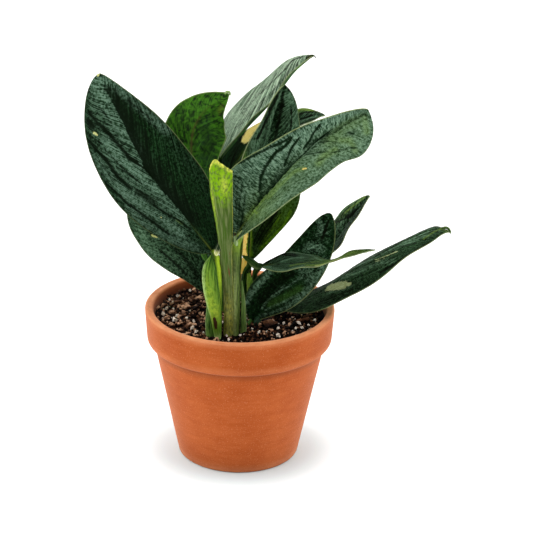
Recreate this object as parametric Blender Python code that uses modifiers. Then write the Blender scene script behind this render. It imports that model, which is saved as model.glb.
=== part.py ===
# A potted monstera with lance-shaped leaves: a clay pot, its potting mix, three rooted
# stems laid in the mix, and eleven leaves, each a petiole with its blade, besides the
# bare sheaths of older leaves. Lengths below are millimetres from the middle of the
# pot's foot; x runs to the right, y away from the side that the plant shows, z up.

import math

import bmesh
import bpy
import numpy as np

MM = 0.001
GAP = 0.3  # clearance between pieces that touch
FRONT = (0.0, -1.0, 0.0)
UP = (0.0, 0.0, 1.0)

# Clay pot, the common 6-inch size
RIM_RADIUS = 76.0
POT_HEIGHT = 126.3
COLLAR_HEIGHT = 30.0
COLLAR_TAPER = 1.6  # the collar is this much smaller in radius at its lower edge
COLLAR_ROUNDING = 4.2
BODY_TOP_RADIUS = 68.8
FOOT_RADIUS = 49.0
FOOT_ROUNDING = 1.5
RIM_INNER_RADIUS = 69.2
BODY_WALL = 6.5
FLOOR_THICKNESS = 8.0
DRAIN_RADIUS = 10.0
POT_STEPS = 48

# Potting mix
SOIL_TOP = 117.6
SOIL_DISH = 1.4  # how much lower the mix lies at the wall than in the middle

# Leaf tissue
BLADE_THICKNESS = 0.8
LEAST_HALF_WIDTH = 1.0  # a blade's two ends are cut off at this half width
BLADE_ROWS = 14
BLADE_COLUMNS = 6
CURL = 10.0  # degrees by which a half blade bends back towards its edge
SHEATH_THICKNESS = 1.3
POCKET_REACH = 2.0  # how far a petiole's pocket in the mix goes down into its stem's pocket
STALK_ROWS, STALK_SIDES = 10, 8
GUTTER_ROWS, GUTTER_SIDES = 14, 8
APPROACH = 4.0  # the straight last stretch of a petiole, in line with its midrib

# Each blade: rib is its midrib from base to tip. left and right are half widths at even
# steps along the rib, before both ends are rounded off; tip is the power of that
# rounding, 0.5 blunt and 1 pointed. face is where the upper side looks, at even steps,
# and the lifts are the degrees that each half is raised towards it.
BLADES = {
    "big_left": {
        "rib": [(-21, -45, 190), (-45, -37, 219), (-68, -25, 247), (-90, -9, 281), (-111, 8, 314)],
        "tip": 0.55,
        "left": [26, 32, 37, 41, 41],
        "right": [24, 36, 34, 27, 15],
        "face": [(0, -0.9, 0.4), (-0.25, -0.85, 0.4), (-0.55, -0.7, 0.4)],
        "lift_left": [5, 8, 10, 12, 15],
        "lift_right": [-30, -28, -25, -25, -30],
    },
    "curled_back": {
        "rib": [(-23, 8, 205), (-37, 11, 234), (-39, 14, 264), (-29, 16, 284), (-11, 14, 298)],
        "tip": 0.6,
        "left": [20, 20, 28, 26, 14],
        "right": [20, 20, 23, 21, 14],
        "face": [(-0.1, 0.9, 0.3)] * 3,
        "lift_left": [10, 10, 10],
        "lift_right": [10, 10, 10],
    },
    "tall_narrow": {
        "rib": [(-17, 24, 242), (3, 28, 266), (22, 34, 286), (40, 42, 309), (55, 48, 320)],
        "tip": 0.7,
        "left": [24, 24, 17, 13, 16],
        "right": [18, 18, 13, 10, 10],
        "face": [(-0.3, -0.55, 0.75)] * 3,
        "lift_left": [10, 10, 10],
        "lift_right": [62, 60, 66],
    },
    "rear_right": {
        "rib": [(-13, 44, 218), (3, 50, 240), (26, 58, 254), (50, 66, 262), (66, 72, 263)],
        "tip": 0.7,
        "left": [22, 20, 15, 17, 19],
        "right": [18, 18, 17, 14, 5],
        "face": [(-0.1, -0.2, 0.95)] * 3,
        "lift_left": [15, 15, 15],
        "lift_right": [15, 15, 15],
    },
    "upright": {
        "rib": [(7, 18, 157), (9, 20, 195), (14, 22, 236), (24, 23, 275), (32, 23, 303)],
        "tip": 0.6,
        "left": [20, 24, 33, 24, 22],
        "right": [16, 33, 34, 28, 26],
        "face": [(0.6, -0.75, 0.2)] * 3,
        "lift_left": [28, 28, 28],
        "lift_right": [28, 28, 28],
    },
    "big_right": {
        "rib": [(-3, -42, 198), (16, -38, 227), (38, -26, 255), (64, -8, 273), (98, 14, 286)],
        "tip": 0.45,
        "left": [30, 40, 23, 17, 13],
        "right": [20, 26, 27, 32, 44],
        "face": [(-0.5, -0.8, 0.2), (0, -0.8, 0.5), (0.5, -0.65, 0.5)],
        "lift_left": [5, 10, 25, 45, 50],
        "lift_right": [62, 48, 28, 12, 2],
    },
    "low_left": {
        "rib": [(-22, 8, 130), (-37, 14, 153), (-56, 24, 167), (-75, 32, 181), (-90, 40, 196)],
        "tip": 0.5,
        "left": [10, 19, 23, 20, 16],
        "right": [16, 22, 23, 20, 16],
        "face": [(-0.3, -0.35, 0.9)] * 3,
        "lift_left": [15, 15, 15],
        "lift_right": [15, 15, 15],
    },
    "low_front": {
        "rib": [(10, -20, 121), (22, -13, 138), (39, -2, 157), (56, 10, 178), (71, 20, 198)],
        "tip": 0.55,
        "left": [21, 19, 13, 11, 13],
        "right": [9, 20, 24, 24, 20],
        "face": [(0.0, -0.9, 0.4)] * 3,
        "lift_left": [5, 5, 5],
        "lift_right": [5, 5, 5],
    },
    "long_right": {
        "rib": [(26, 4, 122), (57, -2, 135), (88, -9, 160), (123, -14, 186), (150, -17, 200),
                (164, -17, 198)],
        "tip": 0.6,
        "left": [20, 21, 21, 21, 20, 16],
        "right": [14, 21, 22, 21, 20, 12],
        "face": [(-0.35, -0.12, 0.9)] * 3,
        "lift_left": [-5, -8, -14, -20, -18, -5],
        "lift_right": [5, -8, -15, -3, 5, 25],
    },
    "low_rear": {
        "rib": [(48, 26, 130), (62, 30, 151), (77, 35, 169), (89, 40, 187), (103, 46, 204)],
        "tip": 0.6,
        "left": [16, 18, 18, 17, 18],
        "right": [16, 18, 18, 16, 14],
        "face": [(-0.85, -0.25, 0.4)] * 3,
        "lift_left": [12, 12, 12],
        "lift_right": [20, 20, 20],
    },
    "twisted": {
        "rib": [(17, -12, 165), (34, -20, 171), (52, -25, 175), (69, -28, 176), (87, -30, 183),
                (105, -30, 186)],
        "tip": 0.8,
        "left": [10, 13, 13, 12, 12, 12],
        "right": [9, 13, 13, 12, 12, 10],
        "face": [(-0.1, -0.7, 0.6), (-0.1, -0.6, 0.7), (-0.1, -0.2, 0.95), (-0.1, 0.2, 0.95),
                 (-0.1, -0.1, 0.95)],
        "lift_left": [-28, -25, -22, -8, 20, 30],
        "lift_right": [45, 38, 28, 18, 0, 20],
    },
}

# Each petiole runs from the buried stem to its blade: its path up to the last stretch,
# then half widths and half depths at even steps over the whole of it.
PETIOLES = {
    "big_left": {
        "path": [(-16, -43, 101.6), (-16, -44.5, 118), (-16.4, -44.5, 128), (-18.9, -44, 145),
                 (-20.8, -44, 165), (-21.4, -44.5, 180)],
        "half_width": [2.4, 2.6, 3.5, 5.8, 7.2, 5.2, 3.0, 2.2],
        "half_depth": [2.4, 2.6, 3.0, 4.0, 4.4, 3.6, 2.6, 2.0],
    },
    "big_right": {
        "path": [(-2.6, -39, 101.6), (-2.6, -38.5, 118), (-2.6, -38.5, 150), (-2.8, -39, 178)],
        "half_width": [2.8, 2.9, 3.0, 3.0, 2.8, 2.3],
        "half_depth": [2.8, 2.9, 3.0, 3.0, 2.6, 2.2],
    },
    "curled_back": {
        "path": [(-10, 2.7, 102.6), (-12.5, 3, 120), (-13, 4, 150), (-17, 6, 186)],
        "half_width": [2.5, 2.4, 2.3, 2.2, 2.1, 2.0],
        "half_depth": [2.5, 2.4, 2.3, 2.2, 2.1, 2.0],
    },
    "tall_narrow": {
        "path": [(-4.6, 5.1, 103.2), (-6.5, 11, 120), (-9, 14, 165), (-12, 20, 214)],
        "half_width": [2.4, 2.4, 2.3, 2.2, 2.0, 1.9],
        "half_depth": [2.4, 2.4, 2.3, 2.2, 2.0, 1.9],
    },
    "rear_right": {
        "path": [(-0.5, 13.5, 102.3), (-2, 20, 120), (-4, 27, 155), (-9, 38, 195)],
        "half_width": [2.3, 2.3, 2.2, 2.1, 2.0, 1.9],
        "half_depth": [2.3, 2.3, 2.2, 2.1, 2.0, 1.9],
    },
    "upright": {
        "path": [(4.6, 9.3, 102.6), (4.1, 12.5, 118), (3, 17, 136), (4, 18, 148)],
        "half_width": [2.7, 2.8, 2.8, 2.7, 2.4, 2.2],
        "half_depth": [2.7, 2.7, 2.7, 2.6, 2.4, 2.2],
    },
    "low_left": {
        "path": [(-15, 0.5, 102.6), (-18.5, 4.5, 117)],
        "half_width": [2.5, 2.5, 2.3, 2.1],
        "half_depth": [2.5, 2.5, 2.3, 2.1],
    },
    "low_front": {
        "path": [(6.5, -22.4, 101.6), (8.3, -22.6, 112)],
        "half_width": [2.6, 2.7, 2.5, 2.3],
        "half_depth": [2.6, 2.6, 2.4, 2.2],
    },
    "long_right": {
        "path": [(18.5, -7.5, 102.2), (19.6, -2, 113)],
        "half_width": [2.5, 2.6, 2.5, 2.2],
        "half_depth": [2.5, 2.6, 2.4, 2.1],
    },
    "low_rear": {
        "path": [(22.5, 17.4, 103.4), (35, 22, 117)],
        "half_width": [2.3, 2.3, 2.2, 2.0],
        "half_depth": [2.3, 2.3, 2.2, 2.0],
    },
    "twisted": {
        "path": [(12.8, 13, 103.2), (12.3, 9.5, 118), (12.6, 6.5, 136), (11.6, -1, 152)],
        "half_width": [2.2, 2.2, 2.1, 2.0, 1.9, 1.8],
        "half_depth": [2.2, 2.2, 2.1, 2.0, 1.9, 1.8],
    },
}

# The cut petiole in front is a gutter, open at the back, with a torn upper end.
CUT_PETIOLE = {
    "path": [(-9.2, -40.5, 101.6), (-9.2, -40.5, 137), (-9.8, -41.5, 160), (-10.5, -45, 185),
             (-12, -47, 214), (-14.4, -48, 240), (-15, -48.5, 267)],
    "half_width": [2.7, 2.8, 3.2, 4.4, 6.5, 8.4, 9.0],
    "half_depth": [2.4, 2.5, 2.6, 2.7, 3.0, 3.4, 3.6],
}
GUTTER_HALF_ANGLE = 100.0
TORN_DROP = 8.0  # the torn end is this much lower at its sides

# Dry or closed sheaths beside the petioles
SHEATHS = {
    "sheath_right": {
        "path": [(2.8, -38.6, 101.6), (3.1, -38.6, 118), (3.1, -38.6, 140), (1.9, -38.6, 163)],
        "half_width": [1.7, 1.8, 1.7, 0.6],
        "half_depth": [2.0, 2.0, 1.8, 0.6],
    },
    "sheath_stub_left": {
        "path": [(-22.2, -42, 101.6), (-22.6, -42, 118), (-23.2, -40, 130), (-23.2, -36.5, 141)],
        "half_width": [2.4, 2.8, 2.4, 1.7],
        "half_depth": [2.2, 2.4, 2.2, 1.2],
    },
    "sheath_rear_left": {
        "path": [(9, 11.3, 102.9), (8.8, 15.2, 118), (8.8, 17.5, 136), (8.6, 19, 147)],
        "half_width": [1.1, 1.6, 1.8, 0.6],
        "half_depth": [1.4, 1.4, 1.3, 0.5],
    },
    "sheath_rear_right": {
        "path": [(17.2, 15, 102.6), (17.2, 13.5, 118), (17.4, 13, 134), (18.2, 13, 149)],
        "half_width": [1.8, 2.0, 1.7, 0.6],
        "half_depth": [1.3, 1.4, 1.2, 0.5],
    },
}

# Each rooted stem lies level in the mix under the petioles it carries.
STEMS = {
    "stem_front": {
        "path": [(-28, -42.5, 95), (-16, -42, 95), (-4, -40, 95), (9, -37, 95)],
        "radius": [4.0, 6.3, 6.3, 4.0],
        "roots": [
            [(-18, -42, 94), (-23, -34, 70), (-26, -20, 42), (-15, -6, 18)],
            [(-9, -41, 94), (-7, -36, 66), (2, -31, 38), (12, -26, 16)],
            [(2, -39, 94), (12, -35, 68), (24, -26, 44), (27, -8, 20)],
        ],
    },
    "stem_middle": {
        "path": [(0, -29, 95), (8, -20.5, 95), (16, -11, 95), (24, -1, 95)],
        "radius": [4.0, 6.3, 6.3, 4.0],
        "roots": [
            [(5, -24, 94), (-3, -16, 62), (-7, -4, 32), (2, 5, 13)],
            [(18, -8, 94), (32, -14, 68), (38, -16, 42), (32, -8, 22)],
        ],
    },
    "stem_rear": {
        "path": [(-23, -3, 95), (-9, 3.2, 95), (5, 9.5, 95), (18, 15.3, 95), (32, 21.6, 95)],
        "radius": [4.5, 7.3, 7.3, 7.3, 4.5],
        "roots": [
            [(-14, 1, 94), (-26, 8, 68), (-35, 14, 40), (-26, 22, 17)],
            [(0, 7, 94), (-3, 20, 64), (-9, 31, 36), (-1, 33, 14)],
            [(14, 13.5, 94), (20, 26, 66), (25, 30, 40), (17, 26, 18)],
            [(22, 17, 94), (38, 17, 68), (42, 10, 44), (34, 6, 24)],
        ],
    },
}
ROOT_RADIUS = [1.8, 1.5, 1.2, 0.9]
ROOT_ROWS, ROOT_SIDES = 7, 6

# Colours as seen, red, green, blue from 0 to 1
CLAY = (0.62, 0.25, 0.11)
SOIL = (0.05, 0.03, 0.02)
ROOT = (0.45, 0.36, 0.22)
PETIOLE_GREEN = (0.16, 0.26, 0.07)
BRIGHT_GREEN = (0.34, 0.50, 0.05)
LEAF_GREEN = (0.03, 0.09, 0.05)
LIGHT_LEAF_GREEN = (0.05, 0.16, 0.03)
LEAF_COLOURS = {"curled_back": LIGHT_LEAF_GREEN, "upright": LIGHT_LEAF_GREEN}


def clear_scene():
    for obj in list(bpy.data.objects):
        bpy.data.objects.remove(obj, do_unlink=True)


def new_collection(name):
    collection = bpy.data.collections.new(name)
    bpy.context.scene.collection.children.link(collection)
    return collection


def new_material(name, colour, roughness):
    material = bpy.data.materials.new(name)
    material.use_nodes = True
    shader = material.node_tree.nodes["Principled BSDF"]
    shader.inputs["Base Color"].default_value = (*colour, 1.0)
    shader.inputs["Roughness"].default_value = roughness
    shader.inputs["Metallic"].default_value = 0.0
    return material


def add_object(name, mesh, collection, colour=None, roughness=0.6, smooth_angle=40.0):
    if colour:
        mesh.materials.append(new_material(name, colour, roughness))
    mesh.shade_smooth()
    mesh.set_sharp_from_angle(angle=math.radians(smooth_angle))
    obj = bpy.data.objects.new(name, mesh)
    collection.objects.link(obj)
    return obj


# A smooth curve through evenly spaced points or values, and its slope, at each t in 0..1
def spline(points, t):
    points = np.asarray(points, float)
    if points.ndim == 1:
        points = points[:, None]
    spans = len(points) - 1
    ends = np.vstack([2 * points[0] - points[1], points, 2 * points[-1] - points[-2]])
    at = np.clip(np.asarray(t, float) * spans, 0, spans - 1e-9)
    i = at.astype(int)
    u = (at - i)[:, None]
    a, b, c, d = ends[i], ends[i + 1], ends[i + 2], ends[i + 3]
    bend, twist = 2 * a - 5 * b + 4 * c - d, 3 * b - a - 3 * c + d
    place = b + 0.5 * ((c - a) * u + bend * u**2 + twist * u**3)
    slope = 0.5 * ((c - a) + 2 * bend * u + 3 * twist * u**2)
    return place, slope


def unit(vectors):
    return vectors / np.linalg.norm(vectors, axis=-1, keepdims=True)


# Places along a path with a facing and a sideways direction square to it
def frames(path, facing, t):
    centre, slope = spline(path, t)
    along = unit(slope)
    towards = spline(facing, t)[0]
    towards = unit(towards - (towards * along).sum(-1, keepdims=True) * along)
    return centre, towards, np.cross(along, towards)


# A flat grid primitive whose points are put where place(u, v) says, u and v in 0..1
def mapped_grid(name, columns, rows, place):
    bm = bmesh.new()
    bmesh.ops.create_grid(bm, x_segments=columns, y_segments=rows, size=0.5)
    verts = list(bm.verts)
    u = np.array([vert.co.y + 0.5 for vert in verts])
    v = np.array([vert.co.x + 0.5 for vert in verts])
    for vert, spot in zip(verts, place(u, v) * MM):
        vert.co = spot
    mesh = bpy.data.meshes.new(name)
    return bm, mesh


def finish_mesh(bm, mesh):
    bmesh.ops.recalc_face_normals(bm, faces=bm.faces)
    bm.to_mesh(mesh)
    bm.free()
    return mesh


def blade_mesh(name, leaf):
    def place(u, v):
        t = (1 - np.cos(np.pi * u)) / 2
        side = np.sign(v - 0.5)
        across = np.abs(v - 0.5) * 2
        centre, towards, sideways = frames(leaf["rib"], leaf["face"], t)
        rounding = np.sqrt(2 * t) * (2 * (1 - t)) ** leaf["tip"]
        width = np.where(side < 0, spline(leaf["left"], t)[0][:, 0], spline(leaf["right"], t)[0][:, 0])
        width = np.maximum(width * rounding, LEAST_HALF_WIDTH) * across
        lift = np.where(
            side < 0, spline(leaf["lift_left"], t)[0][:, 0], spline(leaf["lift_right"], t)[0][:, 0]
        )
        angle = np.radians(lift - CURL * (across - 0.5))
        out = (side * width * np.cos(angle))[:, None] * sideways
        return centre + out + (width * np.sin(angle))[:, None] * towards

    return finish_mesh(*mapped_grid(name, BLADE_COLUMNS, BLADE_ROWS, place))


# A solid stalk of oval section, which a cutter has wider by grow and longer at its foot by reach
def stalk_mesh(name, stalk, facing, rows=STALK_ROWS, sides=STALK_SIDES, grow=0.0, reach=0.0):
    def place(u, v):
        centre, towards, sideways = frames(stalk["path"], [facing, facing], u)
        centre = centre - reach * (u < 0.01)[:, None] * np.cross(towards, sideways)
        wide = spline(stalk["half_width"], u)[0] + grow
        deep = spline(stalk["half_depth"], u)[0] + grow
        turn = 2 * np.pi * v[:, None]
        return centre + sideways * wide * np.cos(turn) + towards * deep * np.sin(turn)

    bm, mesh = mapped_grid(name, sides, rows, place)
    bmesh.ops.remove_doubles(bm, verts=bm.verts, dist=1e-6)
    open_edges = [edge for edge in bm.edges if edge.is_boundary]
    bmesh.ops.holes_fill(bm, edges=open_edges, sides=0)
    return finish_mesh(bm, mesh)


# The cut petiole's wall, an open gutter whose middle faces the front
def gutter_mesh(name, stalk):
    length = stalk["path"][-1][2] - stalk["path"][0][2]

    def place(u, v):
        turn = np.radians(GUTTER_HALF_ANGLE) * (2 * v - 1)
        torn = TORN_DROP / length * np.sin(turn) ** 2
        u = u * (1 - torn)
        centre, towards, sideways = frames(stalk["path"], [FRONT, FRONT], u)
        wide = spline(stalk["half_width"], u)[0] - SHEATH_THICKNESS / 2
        deep = spline(stalk["half_depth"], u)[0] - SHEATH_THICKNESS / 2
        turn = turn[:, None]
        return centre + sideways * wide * np.sin(turn) + towards * deep * np.cos(turn)

    return finish_mesh(*mapped_grid(name, GUTTER_SIDES, GUTTER_ROWS, place))


def solidify(obj, thickness):
    wall = obj.modifiers.new("wall", "SOLIDIFY")
    wall.thickness = thickness * MM
    wall.offset = 0.0


def turned(name, profile, collection, colour, closed):
    mesh = bpy.data.meshes.new(name)
    count = len(profile)
    edges = [(i, i + 1) for i in range(count - 1)] + ([(count - 1, 0)] if closed else [])
    mesh.from_pydata([(r * MM, 0.0, z * MM) for r, z in profile], edges, [])
    obj = add_object(name, mesh, collection, colour, 0.75)
    screw = obj.modifiers.new("turn", "SCREW")
    screw.steps = screw.render_steps = POT_STEPS
    screw.use_merge_vertices = True
    screw.merge_threshold = 1e-6
    screw.use_smooth_shade = True
    return obj


def arc(centre, radius, start, end, steps):
    angles = [math.radians(start + (end - start) * i / steps) for i in range(steps + 1)]
    return [(centre[0] + radius * math.cos(a), centre[1] + radius * math.sin(a)) for a in angles]


# The pot's inner wall from the rim down to the floor, moved inwards by inset
def inner_wall(inset):
    collar_foot = POT_HEIGHT - COLLAR_HEIGHT
    body_slope = (BODY_TOP_RADIUS - FOOT_RADIUS) / collar_foot
    floor_radius = FOOT_RADIUS + body_slope * FLOOR_THICKNESS - BODY_WALL
    step_z = collar_foot - 2.5
    step_radius = FOOT_RADIUS + body_slope * step_z - BODY_WALL
    wall = [
        (RIM_INNER_RADIUS, POT_HEIGHT - 3.4),
        (RIM_INNER_RADIUS - 2.4, collar_foot + 4.0),
        (step_radius, step_z),
        (floor_radius + 0.5, FLOOR_THICKNESS + 3.0),
        (floor_radius - 2.5, FLOOR_THICKNESS),
    ]
    return [(r - inset, z) for r, z in wall]


def make_pot(collection):
    collar_foot = POT_HEIGHT - COLLAR_HEIGHT
    lip = (RIM_RADIUS - RIM_INNER_RADIUS) / 2
    lip_top = arc((RIM_RADIUS - lip, POT_HEIGHT - lip), lip, 180, 0, 6)[1:]
    collar_edge = arc(
        (RIM_RADIUS - COLLAR_TAPER - COLLAR_ROUNDING, collar_foot + COLLAR_ROUNDING),
        COLLAR_ROUNDING, 0, -90, 4,
    )
    foot_edge = arc((FOOT_RADIUS - FOOT_ROUNDING, FOOT_ROUNDING), FOOT_ROUNDING, 0, -90, 2)
    drain = [(DRAIN_RADIUS, 0.0), (DRAIN_RADIUS, FLOOR_THICKNESS)]
    profile = lip_top + collar_edge + [(BODY_TOP_RADIUS, collar_foot)] + foot_edge + drain
    profile += inner_wall(0.0)[::-1]
    return turned("pot", profile, collection, CLAY, closed=True)


def make_soil(collection, cutters):
    wall = [(r, z) for r, z in inner_wall(GAP) if z < SOIL_TOP - 4]
    (r0, z0), (r1, z1) = inner_wall(GAP)[:2]
    edge_z = SOIL_TOP - SOIL_DISH
    edge_r = r1 + (r0 - r1) * (edge_z - z1) / (z0 - z1)
    floor_z = FLOOR_THICKNESS + GAP
    side = wall[:-1] + [(wall[-1][0], floor_z)]
    profile = [(0.0, SOIL_TOP), (edge_r * 0.7, SOIL_TOP - 0.3 * SOIL_DISH), (edge_r, edge_z)]
    profile += side + [(0.0, floor_z)]
    soil = turned("potting_mix", profile, collection, SOIL, closed=False)
    pockets = soil.modifiers.new("pockets", "BOOLEAN")
    pockets.operation = "DIFFERENCE"
    pockets.operand_type = "COLLECTION"
    pockets.collection = cutters
    pockets.solver = "EXACT"
    return soil


# A petiole ends square to its midrib, just short of the blade
def joined_path(path, rib):
    base = np.array(rib[0], float)
    along = unit(np.array(rib[1], float) - base)
    return [*path, tuple(base - APPROACH * along), tuple(base - 2 * GAP * along)]


def add_cutter(name, mesh, collection):
    cutter = add_object(name, mesh, collection)
    cutter.hide_render = True
    cutter.display_type = "WIRE"
    return cutter


def make_stalk(name, stalk, collection, pockets, colour):
    add_object(name, stalk_mesh(name, stalk, FRONT), collection, colour, 0.45)
    pocket = stalk_mesh(name + "_pocket", stalk, FRONT, grow=GAP, reach=POCKET_REACH)
    add_cutter(name + "_pocket", pocket, pockets)


def make_stem(name, stem, collection, root_shapes, pockets):
    body = {"path": stem["path"], "half_width": stem["radius"], "half_depth": stem["radius"]}
    shape = stalk_mesh(name, body, UP)
    stem_object = add_object(name, shape, collection, ROOT, 0.7)
    add_cutter(name + "_pocket", stalk_mesh(name + "_pocket", body, UP, grow=GAP), pockets)
    for number, path in enumerate(stem["roots"], 1):
        root = {"path": path, "half_width": ROOT_RADIUS, "half_depth": ROOT_RADIUS}
        root_name = f"{name}_root_{number}"
        union = stem_object.modifiers.new(f"root {number}", "BOOLEAN")
        union.operation = "UNION"
        shape = stalk_mesh(root_name, root, FRONT, ROOT_ROWS, ROOT_SIDES)
        union.object = add_cutter(root_name, shape, root_shapes)
        wider = stalk_mesh(root_name + "_pocket", root, FRONT, ROOT_ROWS, ROOT_SIDES, GAP)
        add_cutter(root_name + "_pocket", wider, pockets)


def make_leaves(collection, pockets):
    for name, leaf in BLADES.items():
        petiole = dict(PETIOLES[name])
        petiole["path"] = joined_path(petiole["path"], leaf["rib"])
        make_stalk("petiole_" + name, petiole, collection, pockets, PETIOLE_GREEN)
        colour = LEAF_COLOURS.get(name, LEAF_GREEN)
        blade = add_object("blade_" + name, blade_mesh(name, leaf), collection, colour, 0.4)
        solidify(blade, BLADE_THICKNESS)


def make_sheaths(collection, pockets):
    cut = add_object(
        "cut_petiole", gutter_mesh("cut_petiole", CUT_PETIOLE), collection, BRIGHT_GREEN, 0.45
    )
    solidify(cut, SHEATH_THICKNESS)
    around_cut = stalk_mesh("cut_petiole_pocket", CUT_PETIOLE, FRONT, grow=GAP, reach=POCKET_REACH)
    add_cutter("cut_petiole_pocket", around_cut, pockets)
    for name, sheath in SHEATHS.items():
        make_stalk(name, sheath, collection, pockets, PETIOLE_GREEN)


# Everything is moved together so that the origin is under the middle of the whole
def centre_on_footprint(collection):
    bpy.context.view_layer.update()
    graph = bpy.context.evaluated_depsgraph_get()
    corners = []
    for obj in collection.objects:
        mesh = obj.evaluated_get(graph).data
        corners += [vert.co.copy() for vert in mesh.vertices]
    places = np.array(corners)
    middle = (places.min(axis=0) + places.max(axis=0)) / 2
    origin = bpy.data.objects.new("plant_origin", None)
    collection.objects.link(origin)
    origin.location = (-middle[0], -middle[1], 0.0)
    for obj in bpy.data.objects:
        if obj is not origin:
            obj.parent = origin


def main():
    clear_scene()
    plant = new_collection("potted_monstera")
    root_shapes = new_collection("root_shapes")
    pockets = new_collection("pockets")
    for helper in (root_shapes, pockets):
        helper.hide_render = True
    make_pot(plant)
    for name, stem in STEMS.items():
        make_stem(name, stem, plant, root_shapes, pockets)
    make_leaves(plant, pockets)
    make_sheaths(plant, pockets)
    make_soil(plant, pockets)
    centre_on_footprint(plant)


main()
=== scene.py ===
import math

import bpy
import numpy as np
from mathutils import Matrix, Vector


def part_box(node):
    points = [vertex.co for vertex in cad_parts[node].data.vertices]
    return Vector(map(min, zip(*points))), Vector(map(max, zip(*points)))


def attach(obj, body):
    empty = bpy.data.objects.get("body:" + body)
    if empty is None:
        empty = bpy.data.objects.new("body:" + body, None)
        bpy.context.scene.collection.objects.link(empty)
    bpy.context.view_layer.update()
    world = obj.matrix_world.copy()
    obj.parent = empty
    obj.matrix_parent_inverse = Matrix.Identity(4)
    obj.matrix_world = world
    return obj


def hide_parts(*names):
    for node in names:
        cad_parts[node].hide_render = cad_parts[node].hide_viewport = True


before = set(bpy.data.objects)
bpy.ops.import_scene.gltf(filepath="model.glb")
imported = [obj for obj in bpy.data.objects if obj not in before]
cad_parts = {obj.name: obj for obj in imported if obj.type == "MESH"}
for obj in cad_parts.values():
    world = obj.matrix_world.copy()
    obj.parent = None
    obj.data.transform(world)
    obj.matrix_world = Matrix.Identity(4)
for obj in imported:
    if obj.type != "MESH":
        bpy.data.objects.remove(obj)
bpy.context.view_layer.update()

# Lengths in the tables are millimetres from the middle of the pot's foot, as in the CAD:
# x to the right, y away from the camera, z up. toWorld puts them where the CAD stands.
mm = 0.001
potLow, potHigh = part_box("pot")
potAxis = (potLow + potHigh) / 2
axisShift = np.array([potAxis.x, potAxis.y, 0.0])
front = (0.0, -1.0, 0.0)
white = "#ffffff"


def toWorld(points):
    return np.asarray(points, float) * mm + axisShift


def linear(hexColour):
    parts = [int(hexColour[i:i + 2], 16) / 255 for i in (1, 3, 5)]
    return (*[p / 12.92 if p <= 0.04045 else ((p + 0.055) / 1.055) ** 2.4 for p in parts], 1.0)


# Sets a node's inputs to values, hex colours, sockets, or nodes for their first output
def setInputs(tree, node, inputs):
    for place, value in inputs.items():
        if isinstance(value, bpy.types.Node):
            value = next(socket for socket in value.outputs if socket.enabled)
        if isinstance(value, bpy.types.NodeSocket):
            tree.links.new(value, node.inputs[place])
        else:
            node.inputs[place].default_value = linear(value) if isinstance(value, str) else value


# Adds a node with its inputs and settings
def addNode(tree, kind, inputs, **settings):
    node = tree.nodes.new("ShaderNode" + kind)
    for name, value in settings.items():
        setattr(node, name, value)
    setInputs(tree, node, inputs)
    return node


def newMaterial(name):
    material = bpy.data.materials.new(name)
    material.use_nodes = True
    return material, material.node_tree, material.node_tree.nodes["Principled BSDF"]


def activate(piece):
    bpy.ops.object.select_all(action="DESELECT")
    piece.select_set(True)
    bpy.context.view_layer.objects.active = piece


def inEditMode(piece, work):
    activate(piece)
    bpy.ops.object.mode_set(mode="EDIT")
    bpy.ops.mesh.select_all(action="SELECT")
    work()
    bpy.ops.object.mode_set(mode="OBJECT")


def getPoints(piece):
    flat = np.empty(len(piece.data.vertices) * 3)
    piece.data.vertices.foreach_get("co", flat)
    return flat.reshape(-1, 3)


def setPoints(piece, points):
    piece.data.vertices.foreach_set("co", np.asarray(points, float).ravel())
    piece.data.update()


def setAttributes(piece, table):
    for name, amounts in table.items():
        attribute = piece.data.attributes.new(name, "FLOAT", "POINT")
        attribute.data.foreach_set("value", np.asarray(amounts, np.float32))


# A UV map in millimetres, from one pair of values per point
def setUvMap(piece, name, across, along):
    corners = np.empty(len(piece.data.loops), int)
    piece.data.loops.foreach_get("vertex_index", corners)
    layer = piece.data.uv_layers.new(name=name)
    layer.data.foreach_set("uv", np.stack([across[corners], along[corners]], -1).ravel())


# A smooth curve through evenly spaced points or values, and its slope, at each t in 0..1
def spline(points, t):
    points = np.asarray(points, float)
    if points.ndim == 1:
        points = points[:, None]
    spans = len(points) - 1
    ends = np.vstack([2 * points[0] - points[1], points, 2 * points[-1] - points[-2]])
    at = np.clip(np.asarray(t, float) * spans, 0, spans - 1e-9)
    i = at.astype(int)
    u = (at - i)[:, None]
    a, b, c, d = ends[i], ends[i + 1], ends[i + 2], ends[i + 3]
    bend, twist = 2 * a - 5 * b + 4 * c - d, 3 * b - a - 3 * c + d
    place = b + 0.5 * ((c - a) * u + bend * u**2 + twist * u**3)
    return place, 0.5 * ((c - a) + 2 * bend * u + 3 * twist * u**2)


def values(points, t):
    return spline([points] * 2 if np.isscalar(points) else points, t)[0][:, 0]


def unit(vectors):
    return vectors / np.linalg.norm(vectors, axis=-1, keepdims=True)


# Places along a path, with a facing and a sideways direction square to it
def frames(path, facing, t):
    centre, slope = spline(path, t)
    along = unit(slope)
    towards = spline([facing] * 2 if np.ndim(facing) == 1 else facing, t)[0]
    towards = unit(towards - (towards * along).sum(-1, keepdims=True) * along)
    return centre, towards, np.cross(along, towards)


# Distance along a path in millimetres at each t
def arcLength(path, t):
    steps = np.linspace(0, 1, 200)
    places = spline(path, steps)[0]
    run = np.concatenate([[0], np.cumsum(np.linalg.norm(np.diff(places, axis=0), axis=1))])
    return np.interp(t, steps, run)


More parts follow.
